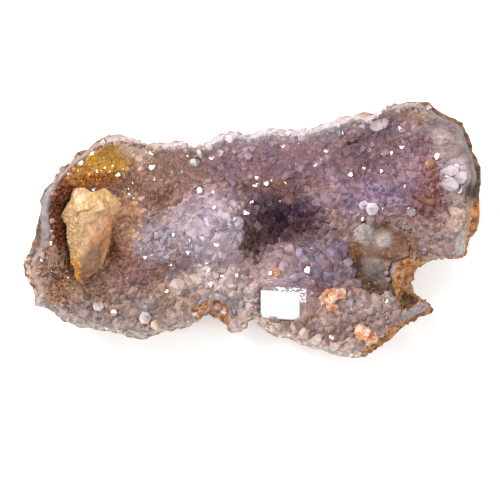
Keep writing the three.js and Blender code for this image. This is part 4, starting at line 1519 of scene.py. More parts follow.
def quartz_parts(places, spread, seed, templates):
    """Points of the druse at these places, as rows for gather."""
    rng = random.Random(seed)
    xs, ys, _ = (np.array(column) for column in zip(*places))
    z = floor_at(xs, ys)[0]
    normals = facing(xs, ys)
    jitter = np.array([(rng.gauss(0, 1.6), rng.gauss(0, 1.6)) for _ in places])
    tints, stains, _ = patch_values(xs + jitter[:, 0], ys + jitter[:, 1])
    frosts = frosting(xs, ys)
    parts = []
    for i, (x, y, size) in enumerate(places):
        lean = Vector((rng.uniform(-1, 1), rng.uniform(-1, 1), 0)) * 0.34
        axis = (Vector(normals[i]) + Vector((0, 0, 0.45)) + lean).normalized()
        radius = spread * size * rng.uniform(0.8, 1.25)
        shoulder = radius * rng.uniform(-0.15, 0.3)
        drift = 0.8 * noise.fractal(Vector((x, y, 9)) / 5, 0.8, 2.0, 3) + rng.uniform(-0.35, 0.35)
        drift = max(-0.5, min(1.0, drift)) * max(0.2, 1 - 1.7 * float(tints[i].mean()))
        cloud = noise.fractal(Vector((x, y, 30)) / 6, 0.8, 2.0, 3)
        bright = rng.uniform(0.82, 1.18) * (1 + 0.28 * cloud)
        hue = np.array((1 + 0.27 * drift, 1.0, 1 - 0.44 * drift))
        stain = stains[i] * rng.uniform(0.4, 1.4) * (1 + drift)
        row = {"tint": np.clip(tints[i] * bright * hue, 0, 0.95), "stain": stain}
        crowded = any(math.hypot(x - c[0], y - c[1]) < 0.9 * c[2] for c in CLEAR_POINTS + GLINTS)
        frosted = rng.random() < 0.9 * frosts[i]
        grainy = any(rng.random() < zone[8] * swell(zone, x, y) for zone in GRAINS.values())
        if crowded or grainy or frosted or over_label(x, y) or in_calcite(x, y):
            continue
        foot = Vector((x, y, z[i])) + axis * shoulder
        spin = rng.uniform(0, math.tau)
        matrix = stood(foot, axis, spin, (radius, radius * rng.uniform(0.85, 1), radius))
        parts.append((rng.choice(templates), matrix, row))
    return parts


# The pieces


class CLUSTER_OT_shell(bpy.types.Operator):
    """Chalcedony shell with its broken edge and brown rind"""

    bl_idname = "cluster.shell"
    bl_label = "Geode Shell"

    def execute(self, context):
        x, y, lip, edge, fall = rim_columns(SHELL_COLUMNS).T
        angle, radius = polar(x, y)
        rings = [*np.linspace(0, 0.35, 6), *np.linspace(0.38, 1, 44), *np.linspace(1.07, 2, 15)]
        rows, bands = [], []
        for ring in rings:
            reach = ring * (radius - edge) if ring <= 1 else radius - edge + (ring - 1) * edge
            px, py = from_middle(angle, reach)
            if ring <= 1:
                z = floor_at(px, py)[2]
            else:
                z = lip - fall * (ring - 1) ** 1.4
            rows.append(np.column_stack([px, py, z]))
            bands.append(ring - 1 if ring > 1 else -0.25 * (1 - ring) / 0.1)
        angles, wide = bridged(RIM_RADIUS)
        _, high = bridged(RIM_CURVE[:, 2] - RIM_CURVE[:, 4])
        wide = np.interp(angle, angles, wide, period=2 * math.pi)
        high = np.interp(angle, angles, high, period=2 * math.pi)
        shares, heights = np.array(SKIN).T
        for k in range(1, UNDERSIDE_ROWS + 1):
            share = 1 - (k / UNDERSIDE_ROWS) ** 1.25
            reach = np.minimum(share * wide, radius - 0.12 * k)
            actual = np.maximum(0, reach / wide)
            edge_z = MEAN_EDGE + (high - MEAN_EDGE) * np.minimum(1, 2 * actual)
            z = edge_z * np.interp(actual, shares, heights)
            z = np.minimum(z, lip - fall - 0.45 * k)
            if k == UNDERSIDE_ROWS:
                reach, z = reach * 0, z * 0 - 3
            px, py = from_middle(angle, reach)
            rows.append(np.column_stack([px, py, z]))
            bands.append(1.0 + 0.2 * k)
        bm, where = dish_mesh(SHELL_COLUMNS, np.array(rows))
        band = np.array(bands)[where[:, 0]]
        bm.normal_update()
        relief = context.scene.cluster_sizes.rind_relief / MM
        moved = []
        rust = self.rust(np.array([v.co for v in bm.verts]), band)
        for vert, b, rusty in zip(bm.verts, band, rust):
            p = vert.co
            if b > 0:
                coarse = noise.fractal(p / 9, 0.8, 2.0, 3)
                fine = noise.fractal(p / 2.3 + Vector((7, 3, 1)), 0.7, 2.0, 3)
                pits = max(0, 0.55 - noise.voronoi(p / 1.9)[0][0]) * rusty
                knobs = 0.8 * max(0, 0.5 - noise.voronoi(p / 4.2)[0][0])
                knobs = knobs * min(1, max(0, 2 * b - 0.6))
                rough = (0.9 * coarse + 0.45 * fine) * min(1, 0.35 + b)
                amount = relief * (rough + 1.6 * knobs - 3.5 * pits)
            elif b > -2.4:
                amount = 0.35 * noise.fractal(p / 3.5, 0.8, 2.0, 3)
            else:
                amount = 0
            moved.append(p + vert.normal * amount)
        for vert, p in zip(bm.verts, keep_in_box(np.array(moved))):
            vert.co = p
        mesh = mesh_from(bm, "geode_wall")
        co = np.empty(len(mesh.vertices) * 3)
        mesh.vertices.foreach_get("co", co)
        agate, rind, reach = self.edge_colours(*co.reshape(-1, 3).T[:2])
        band = band + reach * smoothstep(band, 0.1, 0.6) * (band < 1)
        attribute(mesh, "band", band)
        attribute(mesh, "rust", rust)
        attribute(mesh, "agate", agate)
        attribute(mesh, "rind", rind)
        piece = piece_of(mesh, "geode_wall", [rind_material()], smooth=True)
        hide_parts("geode_shell")
        return {"FINISHED"}

    def edge_colours(self, x, y):
        """Colours of the agate and the rind along the edge, and how far the rind reaches in."""
        colours = bpy.context.scene.cluster_colours
        total = np.full(x.shape, 0.05)[:, None]
        values = total * np.array((*colours.agate, *colours.rind, 0))
        for patch in RIND_PATCHES.values():
            weight = swell(patch, x, y)[:, None] ** 2
            values = values + weight * np.array((*patch[5], *patch[6], patch[7]))
            total = total + weight
        values = values / total
        return values[:, :3], values[:, 3:6], values[:, 6]

    def rust(self, co, band):
        """Where ochre limonite covers the shell: the two notches and the front right rind."""
        x, y = co[:, 0], co[:, 1]
        value = np.zeros(len(co))
        for cx, cy, rx, ry in RUST_SPOTS:
            value = np.maximum(value, np.exp(-(((x - cx) / rx) ** 2 + ((y - cy) / ry) ** 2)))
        inward = np.where(x > 20, -1.0, -0.3)
        return value * smoothstep(band - inward, 0.0, 0.5)


class CLUSTER_OT_bed(bpy.types.Operator):
    """Crust of fine quartz that the points stand on"""

    bl_idname = "cluster.bed"
    bl_label = "Druse Bed"

    def execute(self, context):
        x, y, _, edge, _ = rim_columns(BED_COLUMNS).T
        angle, reach = polar(x, y)
        radius = reach - edge
        rows = []
        for ring in np.linspace(0, 1, 54):
            px, py = from_middle(angle, ring * radius)
            z, out, _ = floor_at(px, py)
            end = np.maximum(smoothstep(out, 0.97, 1.0), bareness(px, py))
            rough = fractals(px, py, 0, 2.2, 0.8, 3)
            z = z + 0.1 - 2.8 * end - 3.5 * bareness(px, py) + 0.5 * rough
            if ring == 0:
                z = z * 0 + z[0]
            rows.append(np.column_stack([px, py, z]))
        for ring in (0.98, 0.8, 0.5, 0.25, 0):
            px, py = from_middle(angle, ring * radius)
            z, _, dish = floor_at(px, py)
            z = np.minimum(dish, z - 3.2) - 0.3 - 4 * bareness(px, py)
            if ring == 0:
                z = z * 0 + z[0]
            rows.append(np.column_stack([px, py, z]))
        bm, _ = dish_mesh(BED_COLUMNS, np.array(rows))
        mesh = mesh_from(bm, "druse_bed")
        co = np.array([v.co for v in mesh.vertices])
        tint, stain, _ = patch_values(co[:, 0], co[:, 1])
        attribute(mesh, "tint", tint * 0.8)
        attribute(mesh, "stain", stain)
        piece = piece_of(mesh, "druse_bed", [bed_material()], smooth=True)
        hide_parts("amethyst_crust")
        return {"FINISHED"}


class CLUSTER_OT_pocket(bpy.types.Operator):
    """Cloudy chalcedony lumps of the bare pocket"""

    bl_idname = "cluster.pocket"
    bl_label = "Chalcedony Pocket"

    def execute(self, context):
        bm, x, y = sheet_over([POCKET_GRID], self.kept)
        floor, out, _ = floor_at(x, y)
        rough = fractals(x, y, 0, 1.8, 0.7, 4)
        sink = 2.2 * (1 - smoothstep(chalcedony(x, y), 0.0, 0.7)) + 4 * smoothstep(out, 0.93, 1.0)
        thicken(bm, floor - 2.3 + self.lobes(x, y) + 0.45 * rough - sink)
        x, y = np.array([v.co[:2] for v in bm.verts]).T
        mesh = mesh_from(bm, "chalcedony_pocket")
        share = smoothstep(self.lobes(x, y), 1.7, 3.5)[:, None]
        brown = np.max([swell(spot, x, y) for spot in POCKET_STAINS], axis=0)
        brown = np.maximum(brown, 0.6 * smoothstep(x, 60, 67))[:, None]
        crease, milky = np.array((0.105, 0.06, 0.036)), np.array((0.27, 0.23, 0.213))
        tint = crease + (milky - crease) * share
        tint = tint + (np.array((0.10, 0.036, 0.014)) - tint) * 0.85 * brown
        # Painted shade of a cavity among the lumps: the sheet has no hollow there, only darker
        # colour.
        tint = tint * (1 - 0.85 * swell(CAVITY_SHADE, x, y))[:, None]
        tint = tint * (1 - np.outer(smoothstep(-y, 8, 14), (0.60, 0.68, 0.71)))
        attribute(mesh, "tint", tint)
        attribute(mesh, "stain", np.clip(0.7 - 0.6 * share + brown, 0, 1)[:, 0])
        piece_of(mesh, "chalcedony_pocket", [pocket_material()], smooth=True)
        return {"FINISHED"}

    def kept(self, x, y):
        """Where the sheet is kept."""
        return (chalcedony(x, y) >= 0.02) & (floor_at(x, y)[1] <= 0.97)

    def lobes(self, x, y):
        """How far the lumps swell over the pocket's floor."""
        height = np.zeros(len(x))
        for cx, cy, r in LUMPS + POCKET_LUMPS:
            lobe = 0.7 * r * np.exp(-1.2 * ((x - cx) ** 2 + (y - cy) ** 2) / r**2)
            height = np.logaddexp(2 * height, 2 * lobe) / 2 - 0.02
        return height


class CLUSTER_OT_limonite(bpy.types.Operator):
    """Crumbly golden-brown limonite in both notches, with the arc of agate at the front one"""

    bl_idname = "cluster.limonite"
    bl_label = "Limonite"

    def execute(self, context):
        bm, x, y = sheet_over(LIMONITE_GRIDS, self.kept)
        floor, out, _ = floor_at(x, y)
        rough = fractals(x, y, 4, 3.2, 0.7, 5)
        pits = [max(0, 0.5 - noise.voronoi(Vector((a, b, 0)) / 1.7)[0][0]) for a, b in zip(x, y)]
        hollow = 2.2 * swell((*SHADED_HOLLOW, 4, 5, 0), x, y)
        sink = 3.0 * (1 - smoothstep(self.cover(x, y), 0.2, 0.55))
        sink = sink + 2.0 * smoothstep(out, 0.98, over_edge(x, y, 0.85))
        thicken(bm, floor + 1.3 + 0.9 * rough - 3.2 * np.array(pits) - hollow - sink)
        x, y = np.array([v.co[:2] for v in bm.verts]).T
        mesh = mesh_from(bm, "limonite")
        # Painted shade: the limonite is darkened in its hollow.
        attribute(mesh, "hollow_shade", swell((*SHADED_HOLLOW, 4.8, 6, 0), x, y))
        piece_of(mesh, "limonite", [limonite_material()])
        self.arc()
        return {"FINISHED"}

    def arc(self):
        """The band of agate round the limonite at the front."""
        rows, around = 48, 16
        line = np.array(AGATE_ARC, float)
        t = np.linspace(0, len(line) - 1, rows + 1)
        x, y = (np.interp(t, np.arange(len(line)), line[:, k]) for k in (0, 1))
        x, y = (np.convolve(np.pad(v, 4, "edge"), np.ones(9) / 9, "valid") for v in (x, y))
        z = floor_at(x, y)[0] + 1.0
        heading = np.column_stack([np.gradient(x), np.gradient(y)])
        heading /= np.linalg.norm(heading, axis=1)[:, None]
        thick = ARC_THICKNESS * np.sin(np.linspace(0, math.pi, rows + 1)) ** 0.4
        place = np.zeros((rows + 1, around, 3))
        for k in range(around):
            a = 2 * math.pi * k / around
            side, up = math.cos(a) * thick, math.sin(a) * thick
            px, py = x - heading[:, 1] * side, y + heading[:, 0] * side
            place[:, k] = np.column_stack([px, py, z + up])
        bm, _ = dish_mesh(around, place)
        for vert in bm.verts:
            vert.co += Vector((0, 0, 1)) * 0.5 * noise.fractal(vert.co / 2.5, 0.8, 2.0, 3)
        bmesh.ops.recalc_face_normals(bm, faces=bm.faces)
        piece_from(bm, "agate_arc", [agate_material()], smooth=True)

    def kept(self, x, y):
        """Where the sheet is kept."""
        return (self.cover(x, y) >= 0.2) & (floor_at(x, y)[1] <= over_edge(x, y, 0.85))

    def cover(self, x, y):
        return np.max([swell(form, x, y) for form in LIMONITE], axis=0)


class CLUSTER_OT_grains(bpy.types.Operator):
    """Iron grains strewn on the crystals and in the left hollow"""

    bl_idname = "cluster.grains"
    bl_label = "Iron Grains"

    def execute(self, context):
        rng = random.Random(context.scene.cluster_sizes.seed + 11)
        bm = bmesh.new()
        tints = []
        for x, y, rx, ry, turn, colour, count, size, _ in GRAINS.values():
            a = math.radians(turn)
            for _ in range(count):
                u, v = rng.gauss(0, 0.5) * rx, rng.gauss(0, 0.5) * ry
                px = x + u * math.cos(a) - v * math.sin(a)
                py = y + u * math.sin(a) + v * math.cos(a)
                z, out, _ = (float(value) for value in floor_at(px, py))
                if in_calcite(px, py) or out > 0.975:
                    continue
                radius = size * rng.uniform(0.5, 1.3)
                made = bmesh.ops.create_icosphere(bm, subdivisions=1, radius=radius)["verts"]
                for vert in made:
                    vert.co *= rng.uniform(0.7, 1.25)
                height = z + rng.uniform(0.2, 1.6)
                bmesh.ops.translate(bm, vec=(px, py, height), verts=made)
                tints += [np.array(colour) * rng.uniform(0.35, 1.7)] * len(made)
        mesh = mesh_from(bm, "iron_grains")
        attribute(mesh, "tint", tints)
        clip_mesh(mesh)
        piece_of(mesh, "iron_grains", [grain_material()])
        return {"FINISHED"}


class CLUSTER_OT_points(bpy.types.Operator):
    """Quartz points of the druse, larger ones with small ones between them"""

    bl_idname = "cluster.points"
    bl_label = "Quartz Points"

    def execute(self, context):
        sizes = context.scene.cluster_sizes
        templates = [point_template(f"point {k}", 100 + k) for k in range(POINT_SHAPES)]
        large = scatter(sizes.point_spacing / MM, sizes.seed, LARGE_TRIES, [])
        taken = [(x, y, 0.75 * size) for x, y, size in large]
        fine = scatter(sizes.fine_spacing / MM, sizes.seed + 1, FINE_TRIES, taken)
        parts = quartz_parts(large, 0.92, sizes.seed + 2, templates)
        self.piece(parts, "amethyst_points", quartz_material("amethyst", 0.45, 0.06))
        parts = quartz_parts(fine, 0.85, sizes.seed + 3, templates)
        self.piece(parts, "fine_points", quartz_material("fine quartz", 0.4, 0.07))
        parts = self.clear_parts(templates, sizes.seed + 4)
        self.piece(parts, "clear_points", quartz_material("clear quartz", 0.4, 0.05))
        for template in templates:
            bpy.data.meshes.remove(template)
        return {"FINISHED"}

    def piece(self, parts, name, material):
        """One joined piece, with cloudy roots."""
        piece_of(gather(parts, name), name, [material, root_material()])

    def clear_parts(self, templates, seed):
        """The larger clear points and the glinting ones, as rows for gather."""
        rng = random.Random(seed)
        parts = []
        for x, y, radius, shoulder, lean_x, lean_y, tint in CLEAR_POINTS:
            axis = Vector(facing(np.array([x]), np.array([y]))[0]) + Vector((lean_x, lean_y, 0.5))
            axis.normalize()
            z = float(floor_at(x, y)[0])
            long = max(radius, 0.7 * (shoulder + 2.4))
            foot = Vector((x, y, z)) + axis * shoulder
            matrix = stood(foot, axis, rng.uniform(0, math.tau), (radius, radius * 0.9, long))
            parts.append((rng.choice(templates), matrix, {"tint": tint, "stain": 0.15}))
        xs, ys = (np.array(column) for column in list(zip(*GLINTS))[:2])
        tints = patch_values(xs, ys)[0]
        for (x, y, radius), up, tint in zip(GLINTS, facing(xs, ys), tints):
            template = rng.choice(templates)
            place = Vector((x, y, float(floor_at(x, y)[0]) + GLINT_SHARE * radius))
            turn = self.aimed(template, place * MM, Vector(up))
            matrix = Matrix.Translation(place) @ turn @ Matrix.Scale(GLINT_SHARE * radius, 4)
            parts.append((template, matrix, {"tint": np.minimum(tint * 1.15, 0.9), "stain": 0.1}))
        return parts

    def aimed(self, template, place, up):
        """Turns a point so that its largest tip face mirrors the window to a viewer above."""
        tips = [f for f in template.polygons if f.material_index == 0 and 0.2 < f.normal.z < 0.95]
        face = max(tips, key=lambda f: f.area).normal
        mirror = ((Vector(WINDOW) - place).normalized() + Vector((0, 0, 1))).normalized()
        slope = math.acos(face.z)
        aside = (up - mirror * up.dot(mirror)).normalized()
        axis = mirror * math.cos(slope) + aside * math.sin(slope)
        frames = []
        for stem, side in ((Vector((0, 0, 1)), face), (axis, mirror)):
            out = (side - stem * side.dot(stem)).normalized()
            frames.append(Matrix((stem, out, stem.cross(out))).transposed())
        return (frames[1] @ frames[0].transposed()).to_4x4()


class CLUSTER_OT_edge(bpy.types.Operator):
    """Broken quartz along the edge, its points towards the hollow"""

    bl_idname = "cluster.edge"
    bl_label = "Edge Quartz"

    def execute(self, context):
        sizes = context.scene.cluster_sizes
        rng = random.Random(sizes.seed + 7)
        templates = [point_template(f"edge point {k}", 300 + k) for k in range(EDGE_SHAPES)]
        row = rim_rows(np.array([rng.random() for _ in range(EDGE_TRIES)]) * len(RIM_CURVE))
        away = row[:, :2] - np.array(MIDDLE)
        away /= np.linalg.norm(away, axis=1)[:, None]
        across = np.array([rng.uniform(-0.6, 0.45) for _ in row])
        inward = row[:, 3] * (1 - across)
        xs, ys = (row[:, :2] - away * inward[:, None]).T
        zs = row[:, 2] - row[:, 4] * np.maximum(across, 0) ** 1.4 - 0.4
        smooth = sum(swell(form, xs, ys) for form in SMOOTH_EDGES)
        smooth = smooth + swell(FROSTED, xs, ys)
        jitter = np.array([(rng.gauss(0, 1.5), rng.gauss(0, 1.5)) for _ in row])
        tints, stains, scales = patch_values(xs + jitter[:, 0], ys + jitter[:, 1], EDGE_PATCHES)
        kept, parts = [], []
        for i in range(len(row)):
            size = 1.9 * scales[i] * rng.uniform(0.7, 1.3)
            if smooth[i] > rng.uniform(0.25, 0.6) or rng.random() < 0.8:
                continue
            if any(math.hypot(a - xs[i], b - ys[i]) < (c + size) / 2 for a, b, c in kept):
                continue
            kept.append((xs[i], ys[i], size))
            radius = size * 0.78
            lean = Vector((rng.uniform(-1, 1), rng.uniform(-1, 1), 0)) * 0.3
            axis = Vector((-away[i][0], -away[i][1], rng.uniform(0.5, 1.3))) + lean
            axis.normalize()
            shoulder = radius * rng.uniform(-0.5, 0.4)
            foot = Vector((xs[i], ys[i], zs[i])) + axis * shoulder
            spin = rng.uniform(0, math.tau)
            deep, long = radius * rng.uniform(0.8, 1), radius * rng.uniform(1, 1.5)
            matrix = stood(foot, axis, spin, (radius, deep, long))
            values = {"tint": np.clip(tints[i] * rng.uniform(0.8, 1.2), 0, 1), "stain": stains[i]}
            parts.append((rng.choice(templates), matrix, values))
        mesh = gather(parts, "edge_quartz")
        materials = [quartz_material("edge quartz", 0.4, 0.15), root_material()]
        piece_of(mesh, "edge_quartz", materials)
        for template in templates:
            bpy.data.meshes.remove(template)
        return {"FINISHED"}


class CLUSTER_OT_frost(bpy.types.Operator):
    """Frosted broken quartz along the edge"""

    bl_idname = "cluster.frost"
    bl_label = "Frosted Quartz"

    def execute(self, context):
        whole = [(0, 0, 179, 100)]
        bm, x, y = sheet_over(whole, self.kept)
        z, out, _ = floor_at(x, y)
        fine = fractals(x, y, 6, 1.8, 0.8, 3)
        broken = self.facets(x, y) * (1 - 0.55 * smoothstep(swell(FROSTED, x, y), 0.25, 0.5))
        sink = 2.6 * (1 - smoothstep(frosting(x, y), 0.05, 0.6))
        sink = sink + 2.2 * smoothstep(out, 0.99, self.end(x, y))
        thicken(bm, z + 0.9 + broken + 0.3 * fine - sink)
        co = keep_in_box(np.array([v.co for v in bm.verts]))
        for vert, place in zip(bm.verts, co):
            vert.co = place
        tint, stain, _ = patch_values(co[:, 0], co[:, 1], EDGE_PATCHES)
        outer = smoothstep(floor_at(*co[:, :2].T)[1], 0.96, 1.02) * smoothstep(co[:, 0], 55, 65)
        tint = tint * (1 - np.outer(outer, (0.34, 0.26, 0.20)))
        mesh = mesh_from(bm, "frosted_quartz")
        attribute(mesh, "tint", tint)
        attribute(mesh, "stain", stain)
        angle, reach = polar(*co[:, :2].T)
        attribute(mesh, "fibre", np.column_stack([80 * angle, 0.3 * reach, 0.3 * co[:, 2]]))
        piece_of(mesh, "frosted_quartz", [frost_material()], smooth=True)
        return {"FINISHED"}

    def kept(self, x, y):
        """Where the sheet is kept."""
        return (frosting(x, y) > 0.05) & (floor_at(x, y)[1] < self.end(x, y))

    def end(self, x, y):
        """Where the quartz ends on the broken edge, further out at the right."""
        return over_edge(x, y, 0.32 + 0.3 * smoothstep(swell(FROSTED, x, y), 0.1, 0.5))

    def facets(self, x, y):
        """Heights of flat faces that are tilted at random, as broken quartz shows them."""
        heights = []
        for size in (3.4, 2.1):
            row = []
            for a, b in zip(x / size, y / size):
                seed = noise.voronoi(Vector((a, b, size)))[1][0]
                tilt = noise.cell_vector(seed * 31) - Vector((0.5, 0.5, 0.5))
                row.append(1.5 * ((a - seed.x) * tilt.x + (b - seed.y) * tilt.y) + 0.35 * tilt.z)
            heights.append(size * np.array(row))
        return 0.75 * heights[0] + 0.6 * heights[1]


class CLUSTER_OT_calcite(bpy.types.Operator):
    """Tan dog-tooth calcite crystal in the left hollow"""

    bl_idname = "cluster.calcite"
    bl_label = "Calcite Crystal"

    def execute(self, context):
        bm = self.fused(context)
        tan = Vector(context.scene.cluster_colours.calcite)
        sugar, tints, moved = [], [], []
        for vert in bm.verts:
            p = vert.co.copy()
            tint, grainy, below = self.look(p, tan)
            tints.append(tint)
            sugar.append(grainy)
            coarse = 0.5 * noise.fractal(p / 5.5, 0.8, 2.0, 2)
            grain = grainy * 0.9 * (0.55 - noise.voronoi(p / 1.3)[0][0])
            lumps = 0.35 * noise.fractal(Vector((p.x / 2.6, p.y / 5, p.z / 2.6)), 0.7, 2.0, 3)
            moved.append(p + vert.normal * (coarse + grain + lumps * (1 - 0.6 * below)))
        for vert, p in zip(bm.verts, moved):
            vert.co = p
        mesh = mesh_from(bm, "dogtooth_calcite")
        attribute(mesh, "sugar", sugar)
        attribute(mesh, "tint", tints)
        piece = piece_of(mesh, "dogtooth_calcite", [calcite_material()], smooth=True)
        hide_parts("calcite_crystal")
        return {"FINISHED"}

    def fused(self, context):
        """The hulls of the crystal's parts, fused by a voxel remesh."""
        bm = bmesh.new()
        for corners in CALCITE.values():
            verts = [bm.verts.new(corner) for corner in corners]
            hull = bmesh.ops.convex_hull(bm, input=verts)
            loose = [v for v in hull["geom_interior"] if isinstance(v, bmesh.types.BMVert)]
            bmesh.ops.delete(bm, geom=loose, context="VERTS")
        mesh = mesh_from(bm, "calcite hulls")
        hulls = bpy.data.objects.new("calcite hulls", mesh)
        context.scene.collection.objects.link(hulls)
        remesh = hulls.modifiers.new("fuse", "REMESH")
        remesh.mode = "VOXEL"
        remesh.voxel_size = CALCITE_VOXEL
        graph = context.evaluated_depsgraph_get()
        whole = bpy.data.meshes.new_from_object(hulls.evaluated_get(graph))
        bm = bmesh.new()
        bm.from_mesh(whole)
        bm.normal_update()
        bpy.data.objects.remove(hulls)
        for used in (mesh, whole):
            bpy.data.meshes.remove(used)
        return bm

    def look(self, p, tan):
        """Tint of a place, how sugary it is, and how far it lies below the ridge."""
        left = -64.5 + 0.12 * (p.y - 2) - p.x
        grainy = clamp(left / 4 + 0.5) * clamp((12 - p.y) / 4)
        ridge = abs((p.x + 58.8) * 0.74 - (p.y + 1.8) * 0.67)
        along = (p.x + 58.8) * 0.67 + (p.y + 1.8) * 0.74
        below = clamp(((p.x + 60) * 0.74 - (p.y + 1.8) * 0.67) / 3)
        right = clamp((p.x + 57.6 - 0.16 * p.y) / 2.5) * (p.y < 6)
        tip = clamp((-8 - p.y) / 6) * clamp((-66.2 - p.x) / 1.5)
        streak = max(0.0, 1 - ridge / 1.1) * (abs(along) < 6)
        tint = tan.lerp(CALCITE_HEAD, clamp((p.y - 5) / 5))
        tint = tint.lerp(CALCITE_SUGARY, grainy * 0.8)
        tint = tint.lerp(CALCITE_SHADED, below * 0.85)
        tint = tint.lerp(CALCITE_ORANGE, max(right * 0.6, tip, streak * 0.9))
        return tint, grainy, below


class CLUSTER_OT_spar(bpy.types.Operator):
    """Orange spar crystals on the front right"""

    bl_idname = "cluster.spar"
    bl_label = "Orange Spar"

    def execute(self, context):
        bm = bmesh.new()
        for x, y, size, turn in SPAR:
            made = bmesh.ops.create_cube(bm, size=1)["verts"]
            bmesh.ops.scale(bm, vec=size, verts=made)
            a, b, c = map(math.radians, turn)
            spin = Matrix.Rotation(c, 3, "Z") @ Matrix.Rotation(b, 3, "Y")
            spin = spin @ Matrix.Rotation(a, 3, "X")
            bmesh.ops.rotate(bm, cent=(0, 0, 0), matrix=spin, verts=made)
            z = float(floor_at(x, y)[0]) + 0.5
            bmesh.ops.translate(bm, vec=(x, y, z), verts=made)
        bmesh.ops.subdivide_edges(bm, edges=bm.edges, cuts=7, use_grid_fill=True)
        bm.normal_update()
        moved = [v.co + v.normal * 0.55 * noise.fractal(v.co / 2.4, 0.7, 2.0, 3) for v in bm.verts]
        for vert, p in zip(bm.verts, moved):
            vert.co = p
        piece_from(bm, "orange_spar", [spar_material()])
        return {"FINISHED"}


class CLUSTER_OT_label(bpy.types.Operator):
    """Blank paper label under a strip of clear tape"""

    bl_idname = "cluster.label"
    bl_label = "Label and Tape"

    def execute(self, context):
        x, y, width, depth, turn = LABEL
        normal = Vector(facing(np.array([x]), np.array([y]))[0])
        axis = (normal + Vector((0, 0, 0.5))).normalized()
        z = float(floor_at(x, y)[0])
        rest = (
            Matrix.Translation(Vector((x, y, z)) + axis * LABEL_LIFT)
            @ Vector((0, 0, 1)).rotation_difference(axis).to_matrix().to_4x4()
            @ Matrix.Rotation(math.radians(turn), 4, "Z")
        )
        paper = self.sheet(width, depth, 0.2, 0.18, rest, 3)
        label = piece_from(paper, "blank_label", [paper_material()], smooth=True)
        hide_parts("paper_label")
        over = rest @ Matrix.Translation(TAPE_SHIFT)
        film = self.sheet(*TAPE_SIZE, 0.08, 0.5, over, 9)
        back = over.inverted()
        places = [back @ v.co for v in film.verts]
        tape = piece_from(film, "tape_film", [tape_material()], smooth=True)
        # Where the tape is creased along its top and right edges and shows its painted white
        # glare.
        top = [min(p.y - 4.2, p.x + 4.5) for p in places]
        side = [min(p.x - 5.6, p.y - 0.8) for p in places]
        crease_glare = np.clip(np.maximum(top, side), 0, 1)
        attribute(tape.data, "crease_glare", crease_glare)
        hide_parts("clear_tape")
        return {"FINISHED"}

    def sheet(self, width, depth, thick, wave, rest, seed):
        """A thin sheet with waves so high, at its place of rest."""
        bm = bmesh.new()
        bmesh.ops.create_grid(bm, x_segments=40, y_segments=32, size=0.5)
        bmesh.ops.scale(bm, vec=(width, depth, 1), verts=bm.verts)
        for vert in bm.verts:
            vert.co.z = wave * noise.noise(Vector((vert.co.x / 4, vert.co.y / 4, seed)))
        bmesh.ops.solidify(bm, geom=bm.faces[:], thickness=thick)
        bmesh.ops.recalc_face_normals(bm, faces=bm.faces)
        bmesh.ops.transform(bm, matrix=rest, verts=bm.verts)
        return bm


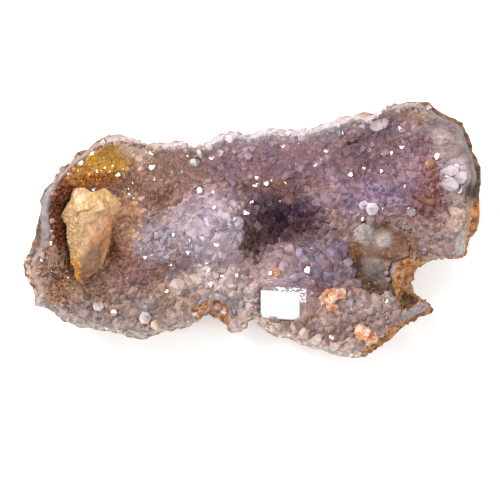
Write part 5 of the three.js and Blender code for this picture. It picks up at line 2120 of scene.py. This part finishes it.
class CLUSTER_OT_stage(bpy.types.Operator):
    """Pale floor, soft studio light and the camera above"""

    bl_idname = "cluster.stage"
    bl_label = "Stage"

    def execute(self, context):
        scene = context.scene
        bm = bmesh.new()
        bmesh.ops.create_grid(bm, x_segments=2, y_segments=2, size=6)
        bmesh.ops.translate(bm, vec=(0, 0, -0.0002), verts=bm.verts)
        mesh = mesh_from(bm, "floor")
        mesh.materials.append(floor_material())
        floor = bpy.data.objects.new("floor", mesh)
        scene.collection.objects.link(floor)
        self.light(scene, "window", WINDOW, 0.38, 12.5)
        self.light(scene, "fill", (0.6, -0.35, 0.7), 0.9, 4.5)
        self.light(scene, "spark left", (-0.8, -0.15, 0.9), 0.13, 1.3)
        self.light(scene, "spark back", (0.3, 0.75, 0.85), 0.13, 1.3)
        world = bpy.data.worlds.new("studio")
        world.use_nodes = True
        world.node_tree.nodes["Background"].inputs["Color"].default_value = (1, 1, 1, 1)
        world.node_tree.nodes["Background"].inputs["Strength"].default_value = 0.7
        scene.world = world
        scene.view_settings.view_transform = "Standard"
        camera = bpy.data.objects.new("camera", bpy.data.cameras.new("camera"))
        scene.collection.objects.link(camera)
        wide = FRAME_PIXELS * PIXEL * MM
        camera.data.sensor_width = SENSOR
        camera.data.lens = SENSOR * (CAMERA_HEIGHT - MEAN_HEIGHT * MM) / wide
        camera.data.clip_end = 20
        camera.location = (FRAME_MIDDLE[0] * MM, FRAME_MIDDLE[1] * MM, CAMERA_HEIGHT)
        scene.camera = camera
        return {"FINISHED"}

    def light(self, scene, name, place, size, power):
        """A square lamp that faces the object."""
        data = bpy.data.lights.new(name, "AREA")
        data.shape = "SQUARE"
        data.size = size
        data.energy = power
        lamp = bpy.data.objects.new(name, data)
        lamp.location = place
        lamp.rotation_mode = "QUATERNION"
        lamp.rotation_quaternion = (-Vector(place)).to_track_quat("-Z", "Y")
        lamp.visible_camera = False
        scene.collection.objects.link(lamp)


STEPS = (
    "shell",
    "bed",
    "pocket",
    "limonite",
    "grains",
    "points",
    "edge",
    "frost",
    "calcite",
    "spar",
    "label",
    "stage",
)


class CLUSTER_PT_panel(bpy.types.Panel):
    bl_idname = "CLUSTER_PT_panel"
    bl_label = "Amethyst Cluster"
    bl_space_type = "VIEW_3D"
    bl_region_type = "UI"
    bl_category = "Cluster"

    def draw(self, context):
        layout = self.layout
        for group in (context.scene.cluster_sizes, context.scene.cluster_colours):
            for name in group.__annotations__:
                layout.prop(group, name)
        for step in STEPS:
            layout.operator(f"cluster.{step}")


CLASSES = (
    ClusterSizes,
    ClusterColours,
    CLUSTER_OT_shell,
    CLUSTER_OT_bed,
    CLUSTER_OT_pocket,
    CLUSTER_OT_limonite,
    CLUSTER_OT_grains,
    CLUSTER_OT_points,
    CLUSTER_OT_edge,
    CLUSTER_OT_frost,
    CLUSTER_OT_calcite,
    CLUSTER_OT_spar,
    CLUSTER_OT_label,
    CLUSTER_OT_stage,
    CLUSTER_PT_panel,
)


def register():
    for cls in CLASSES:
        bpy.utils.register_class(cls)
    bpy.types.Scene.cluster_sizes = PointerProperty(type=ClusterSizes)
    bpy.types.Scene.cluster_colours = PointerProperty(type=ClusterColours)


def unregister():
    del bpy.types.Scene.cluster_colours
    del bpy.types.Scene.cluster_sizes
    for cls in reversed(CLASSES):
        bpy.utils.unregister_class(cls)


def main():
    register()
    for step in STEPS:
        getattr(bpy.ops.cluster, step)()


if __name__ == "__main__":
    main()
